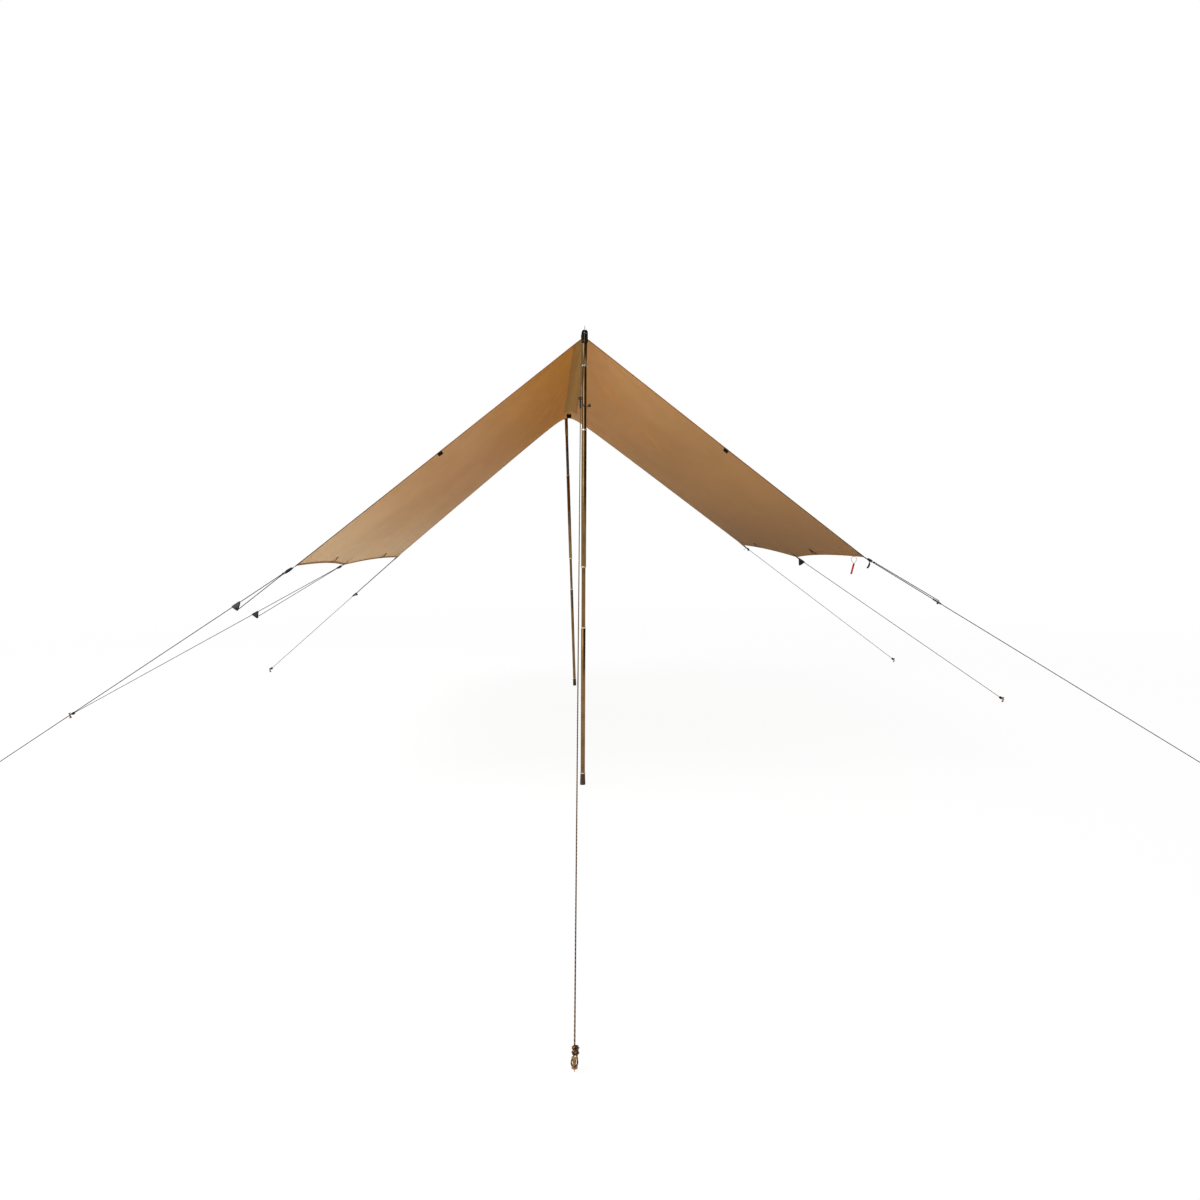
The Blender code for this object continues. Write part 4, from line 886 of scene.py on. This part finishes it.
def makePatch(name):
    # The three-cornered patch under a tie, one layer of cloth. A side tie has two, one to each hand.
    side, kind = sideOf(name), name.split("_")[1]
    leg, inset = (patch["side"], 0.0) if kind == "side" else (patch["corner"], patch["inset"])
    middle = {"front": 0.0, "rear": 1.0, "side": 0.5}[kind]
    steps = patch["steps"]
    verts, faces, uvs, index = [], [], [], {}
    for hand in {"front": (1,), "rear": (-1,), "side": (-1, 1)}[kind]:
        for i in range(steps + 1):
            for j in range(steps + 1 - i):
                if (i, hand * j) in index:
                    continue
                index[i, hand * j] = len(verts)
                along = middle + hand * (inset + leg * j / steps) / ridgeLength
                across = 1 - (patch["inset"] + leg * i / steps) / slope
                verts.append(clothPoint(side, across, along)
                             - clothNormal(side, across, along) * patch["depth"])
                uvs.append((side * across * slope, along * ridgeLength))
        for i in range(steps):
            for j in range(steps - i):
                a, b, c = index[i, hand * j], index[i + 1, hand * j], index[i, hand * (j + 1)]
                faces.append((a, b, c))
                if j < steps - i - 1:
                    faces.append((b, index[i + 1, hand * (j + 1)], c))
    mesh = turnOutward(makeMesh(f"{name}_patch", verts, faces, uvs))
    thicken(link(mesh, clothMaterial), patch["thickness"], 0.0)


def knotMesh(name, centre, axis, knot, cordRadius):
    # Turns of cord wound round an axis, as the body of a knot with one or two swellings
    across = axis.orthogonal().normalized()
    other = axis.cross(across)
    count = int(knot["turns"] * 16)
    points = []
    for k in range(count + 1):
        t = k / count
        angle = tau * knot["turns"] * t
        radius = knot["radius"] * (1 - knot["waist"] * cos(tau * knot["lobes"] * t))
        points.append(centre + axis * knot["wrap"] * (t - 0.5) + across * radius * cos(angle)
                      + other * radius * knot["oval"] * sin(angle))
    return tubeMesh(name, points, cordRadius, 10)


def makeBall(tip, out):
    size = line["ball"]
    angles = [pi * k / 16 for k in range(17)]
    profile = [(max(size * sin(a), 1e-5), size * cos(a)) for a in angles]
    mesh = turnedMesh("front_ball", profile, 24, False)
    mesh.transform(Matrix.Translation(tip + out * size * 0.8))
    return link(mesh, runnerMaterial, "front_runner_body")


def makeGuyline(name):
    radius, body = line["radius"], f"{name}_runner_body"
    braid = frontCordMaterial if name == "front" else cordMaterial
    origin, along, side, _, length = lineFrame(name)
    eye = eyeOf(name)
    route = smoothPath(mainRoute(name), 5)
    main = link(tubeMesh(f"{name}_line", route, radius), braid, replaced=(f"{name}_guyline",))
    knotAt = origin + along * (length - line["loopLength"] - line["knotBack"]) - side * line["knotAside"]
    knot = link(knotMesh(f"{name}_peg_knot", knotAt, along, pegKnot, radius), braid)
    lengthOf(route)

    route = smoothPath(returnRoute(name), 5)
    strand = link(tubeMesh(f"{name}_return", route, radius), cordMaterial, body=None)
    place, _, side, up = runnerFrame(name)
    place - up * line["runnerEye"] - along * line["blendBack"]
    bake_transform(strand)
    if name == "front":
        end = makeBall(route[-1], (route[-1] - route[-3]).normalized())
    else:
        mesh = knotMesh(f"{name}_end_knot", route[-1] - side * 0.0005, side, endKnot, radius * 0.9)
        end = link(mesh, cordMaterial, body)
    lengthOf(route)


for name in guylines:
    if name != "front":
        makeTie(name)
        if name in tail:
            makeTail(name)
        makePatch(name)
    makeGuyline(name)
print("ties and guylines made")


# Poles

pole = {
    "tubeWall": 0.0010, "wide": 0.0140, "lower": 0.0125, "upperStem": 0.0125, "lowerStem": 0.0110,
    "stemWall": 0.001, "stemHidden": 0.1, "stemFixed": 0.06, "tipShoulder": 0.009, "tubeEnd": 0.174,
    "middle": 0.747, "lowerTop": 0.889, "collar": 0.008, "lip": 0.0009, "footHeight": 0.060,
    "lowerShown": {"front": 0.3375, "rear": 0.283},
}


def poleFrame(word):
    # Matrix with the pole's line as Z and its pivot as origin, and the pole's length below the pivot
    tilt, slide = joints[f"{word}_pole_tilt"], joints[f"{word}_pole_upper_slide"]
    zAxis = Vector(slide["axis"]).normalized()
    yAxis = zAxis.cross(Vector(tilt["axis"]).normalized()).normalized()
    place = Matrix((yAxis.cross(zAxis), yAxis, zAxis)).transposed().to_4x4()
    place.translation = Vector(tilt["pos_m"])
    return place, place.translation.z / zAxis.z


def swaged(outer, low, high):
    # A tube with its ends rolled in a little
    roll, inner = 0.0006, outer - pole["tubeWall"]
    return [(outer - roll, low), (outer, low + roll * 2), (outer, high - roll * 2), (outer - roll, high),
            (inner, high), (inner, low)]


def ring(inner, outer, low, high):
    edge = 0.0005
    return [(inner, low), (outer - edge, low), (outer, low + edge), (outer, high - edge),
            (outer - edge, high), (inner, high)]


def makePole(word):
    place, length = poleFrame(word)
    wide, lower, lip = pole["wide"], pole["lower"], pole["lip"]
    upperStem, lowerStem = pole["upperStem"], pole["lowerStem"]
    foot, upperLow = pole["footHeight"], -pole["tubeEnd"]
    lowerTop = pole["lowerTop"] - length
    middleLow = lowerTop + pole["lowerShown"][word]
    middleTop = middleLow + pole["middle"]

    def collar(inner, outer, middle):
        return ring(inner, outer + lip, middle - pole["collar"] / 2, middle + pole["collar"] / 2)

    def rod(radius, low, high):
        low, high, inner = low - pole["stemHidden"], high + pole["stemFixed"], radius - pole["stemWall"]
        return [(radius, low), (radius, high), (inner, high), (inner, low)]

    finishes = {"pole": tubeMaterial, "rod": stemMaterial, "ring": ringMaterial}
    parts = [  # piece, the body it rides, the solid it stands for, profile
        ("upper_pole", "upper", "upper_tube",
         swaged(wide, upperLow + 0.0003, -pole["tipShoulder"] - 0.0053)),
        ("upper_rod", "upper", "upper_stem", rod(upperStem, middleTop, upperLow)),
        ("upper_ring", "upper", None, collar(upperStem + 0.0001, wide, upperLow)),
        ("middle_pole", "middle", "middle_tube", swaged(wide, middleLow + 0.0003, middleTop)),
        ("middle_top_ring", "middle", "middle_collar", collar(upperStem + 0.0005, wide, middleTop)),
        ("middle_low_ring", "middle", None, collar(lowerStem + 0.0001, wide, middleLow)),
        ("lower_rod", "middle", "lower_stem", rod(lowerStem, lowerTop, middleLow)),
        ("lower_pole", "lower", "lower_tube", swaged(lower, 0.0063 - length, lowerTop)),
        ("lower_ring", "lower", "lower_collar", collar(lowerStem + 0.0005, lower, lowerTop)),
        ("foot_ring", "lower", None,
         ring(lower + 0.0003, lower + 0.0020, foot + 0.004 - length, foot + 0.0085 - length)),
    ]
    for part, body, stands, profile in parts:
        mesh = turnedMesh(f"{word}_{part}", profile)
        mesh.transform(place)
        link(mesh, finishes[part.split("_")[-1]], f"{word}_pole_{body}",
             [f"{word}_pole_{stands}"] if stands else ())


makePole("front")
makePole("rear")
print("poles made")


# What stays as the frame gives it takes a worked material

kept = {
    "_pole_tip": steelMaterial, "_pole_foot": rubberMaterial, "_hood": webMaterial, "_loop": webMaterial,
    "_grommet": eyeletMaterial, "_runner": runnerMaterial, "_peg": pegMaterial, "tag_strap": tagMaterial,
}
for nodeName, node in nodes.items():
    for ending, material in kept.items():
        if nodeName.endswith(ending):
            node.data.materials.clear()
            node.data.materials.append(material)
print("kept pieces dressed")


# The pull tag's red cord: a narrow loop that hangs from the hem

tagCord = {"half": 0.017, "drop": 0.042, "radius": 0.0012}


def makeTagCord():
    half, drop, radius = tagCord["half"], tagCord["drop"], tagCord["radius"]
    shares = ((0.09, 0.02), (0.55, 0.11), (1.0, 0.34), (0.72, 0.66))
    left = [Vector((-half * x, 0, -drop * z)) for x, z in shares]
    right = [Vector((-p.x, 0, p.z)) for p in reversed(left)]
    pivot = Vector(joints["tag_swing"]["pos_m"])
    route = smoothPath([pivot + p for p in [*left, Vector((0, 0, -drop * 0.985)), *right]], 6)
    cord = link(tubeMesh("tag_loop", route, radius), tagCordMaterial, "pull_tag", ("tag_cord",))
    lengthOf(route)


makeTagCord()
print("tag made")


# Floor, light and camera

studio = {  # the floor turns wholly white between the two distances; level is the plain light
    "floor": 60.0, "fadeFrom": 4.0, "fadeTo": 11.0, "nearShare": 0.93, "level": 0.55, "mirrored": 0.9,
    "flagX": (0.05, 0.40, 1.0, 0.04), "flagY": (0.5, 0.9, 1.0, 0.2),
    "lamps": {
        "key": {"place": (-5.0, -2.0, 7.5), "aim": (0.0, 0.0, 1.8), "size": 5.0, "power": 620.0},
        "fill": {"place": (-4.0, -6.5, 3.5), "aim": (0.0, 0.0, 1.4), "size": 4.0, "power": 110.0},
    },
}
view = {
    "place": (-0.2351, -6.2213, 1.4329), "yaw": -3.825, "pitch": -4.752, "roll": -0.21,
    "focal": 850.6, "picture": 1200, "sensor": 36.0, "clip": 200.0,
}
rays = ("Is Camera Ray", "Is Glossy Ray", "Is Transmission Ray")


def makeFloor():
    size = studio["floor"]
    corners = [(x * size, y * size, 0) for x, y in ((-1, -1), (1, -1), (1, 1), (-1, 1))]
    mesh = makeMesh("floor", corners, [(0, 1, 2, 3)])
    floor = bpy.data.objects.new("floor", mesh)
    bpy.context.scene.collection.objects.link(floor)
    surface = Surface("White floor")
    surface.set(Base_Color="ffffff", Roughness=0.9, Specular_IOR_Level=0.1)
    seen, glossy, clear = surface.add("ShaderNodeLightPath", out=rays)
    away = surface.add("ShaderNodeVectorMath", {"operation": "LENGTH"}, {0: surface.place()}, "Value")
    share = away.ramp(studio["fadeFrom"], studio["fadeTo"], studio["nearShare"], 1.0)
    white = surface.add("ShaderNodeEmission", None, {"Color": "ffffff", "Strength": 1.0})
    surface.blendWith(white, (seen + glossy + clear).clamped() * share)
    mesh.materials.append(surface.material)


def makeWorld():
    world = bpy.data.worlds.new("Studio")
    bpy.context.scene.world = world
    sky = NodeTree(world)
    seen, glossy, clear = sky.add("ShaderNodeLightPath", out=rays)
    way = sky.add("ShaderNodeTexCoord", out="Generated")
    x, y = sky.add("ShaderNodeSeparateXYZ", None, {0: way}, ("X", "Y"))
    # Metal mirrors the white backdrop on its left and a dark flag on its right
    flag = x.ramp(*studio["flagX"]) * y.ramp(*studio["flagY"])
    level = studio["level"]
    strength = glossy * (flag * studio["mirrored"] - level) + (seen + clear) * (1 - level) + level
    sky.fill(sky.tree.nodes["Background"], {"Color": "ffffff", "Strength": strength})


def makeLamp(name, look):
    data = bpy.data.lights.new(name, "AREA")
    data.shape, data.size, data.energy = "DISK", look["size"], look["power"]
    lamp = bpy.data.objects.new(name, data)
    lamp.location = look["place"]
    lamp.rotation_euler = (Vector(look["aim"]) - Vector(look["place"])).to_track_quat("-Z", "Y").to_euler()
    bpy.context.scene.collection.objects.link(lamp)


def makeCamera():
    data = bpy.data.cameras.new("camera")
    data.sensor_width, data.clip_end = view["sensor"], view["clip"]
    data.lens = view["focal"] / view["picture"] * view["sensor"]
    camera = bpy.data.objects.new("camera", data)
    yaw, up, roll = (Matrix.Rotation(radians(angle), 4, axis) for angle, axis in (
        (view["yaw"], "Z"), (90 + view["pitch"], "X"), (view["roll"], "Z")))
    camera.matrix_world = Matrix.Translation(view["place"]) @ (yaw @ up @ roll)
    bpy.context.scene.collection.objects.link(camera)
    bpy.context.scene.camera = camera


makeFloor()
makeWorld()
for name, look in studio["lamps"].items():
    makeLamp(name, look)
makeCamera()
bpy.context.scene.view_settings.view_transform = "Standard"
print("stage made")
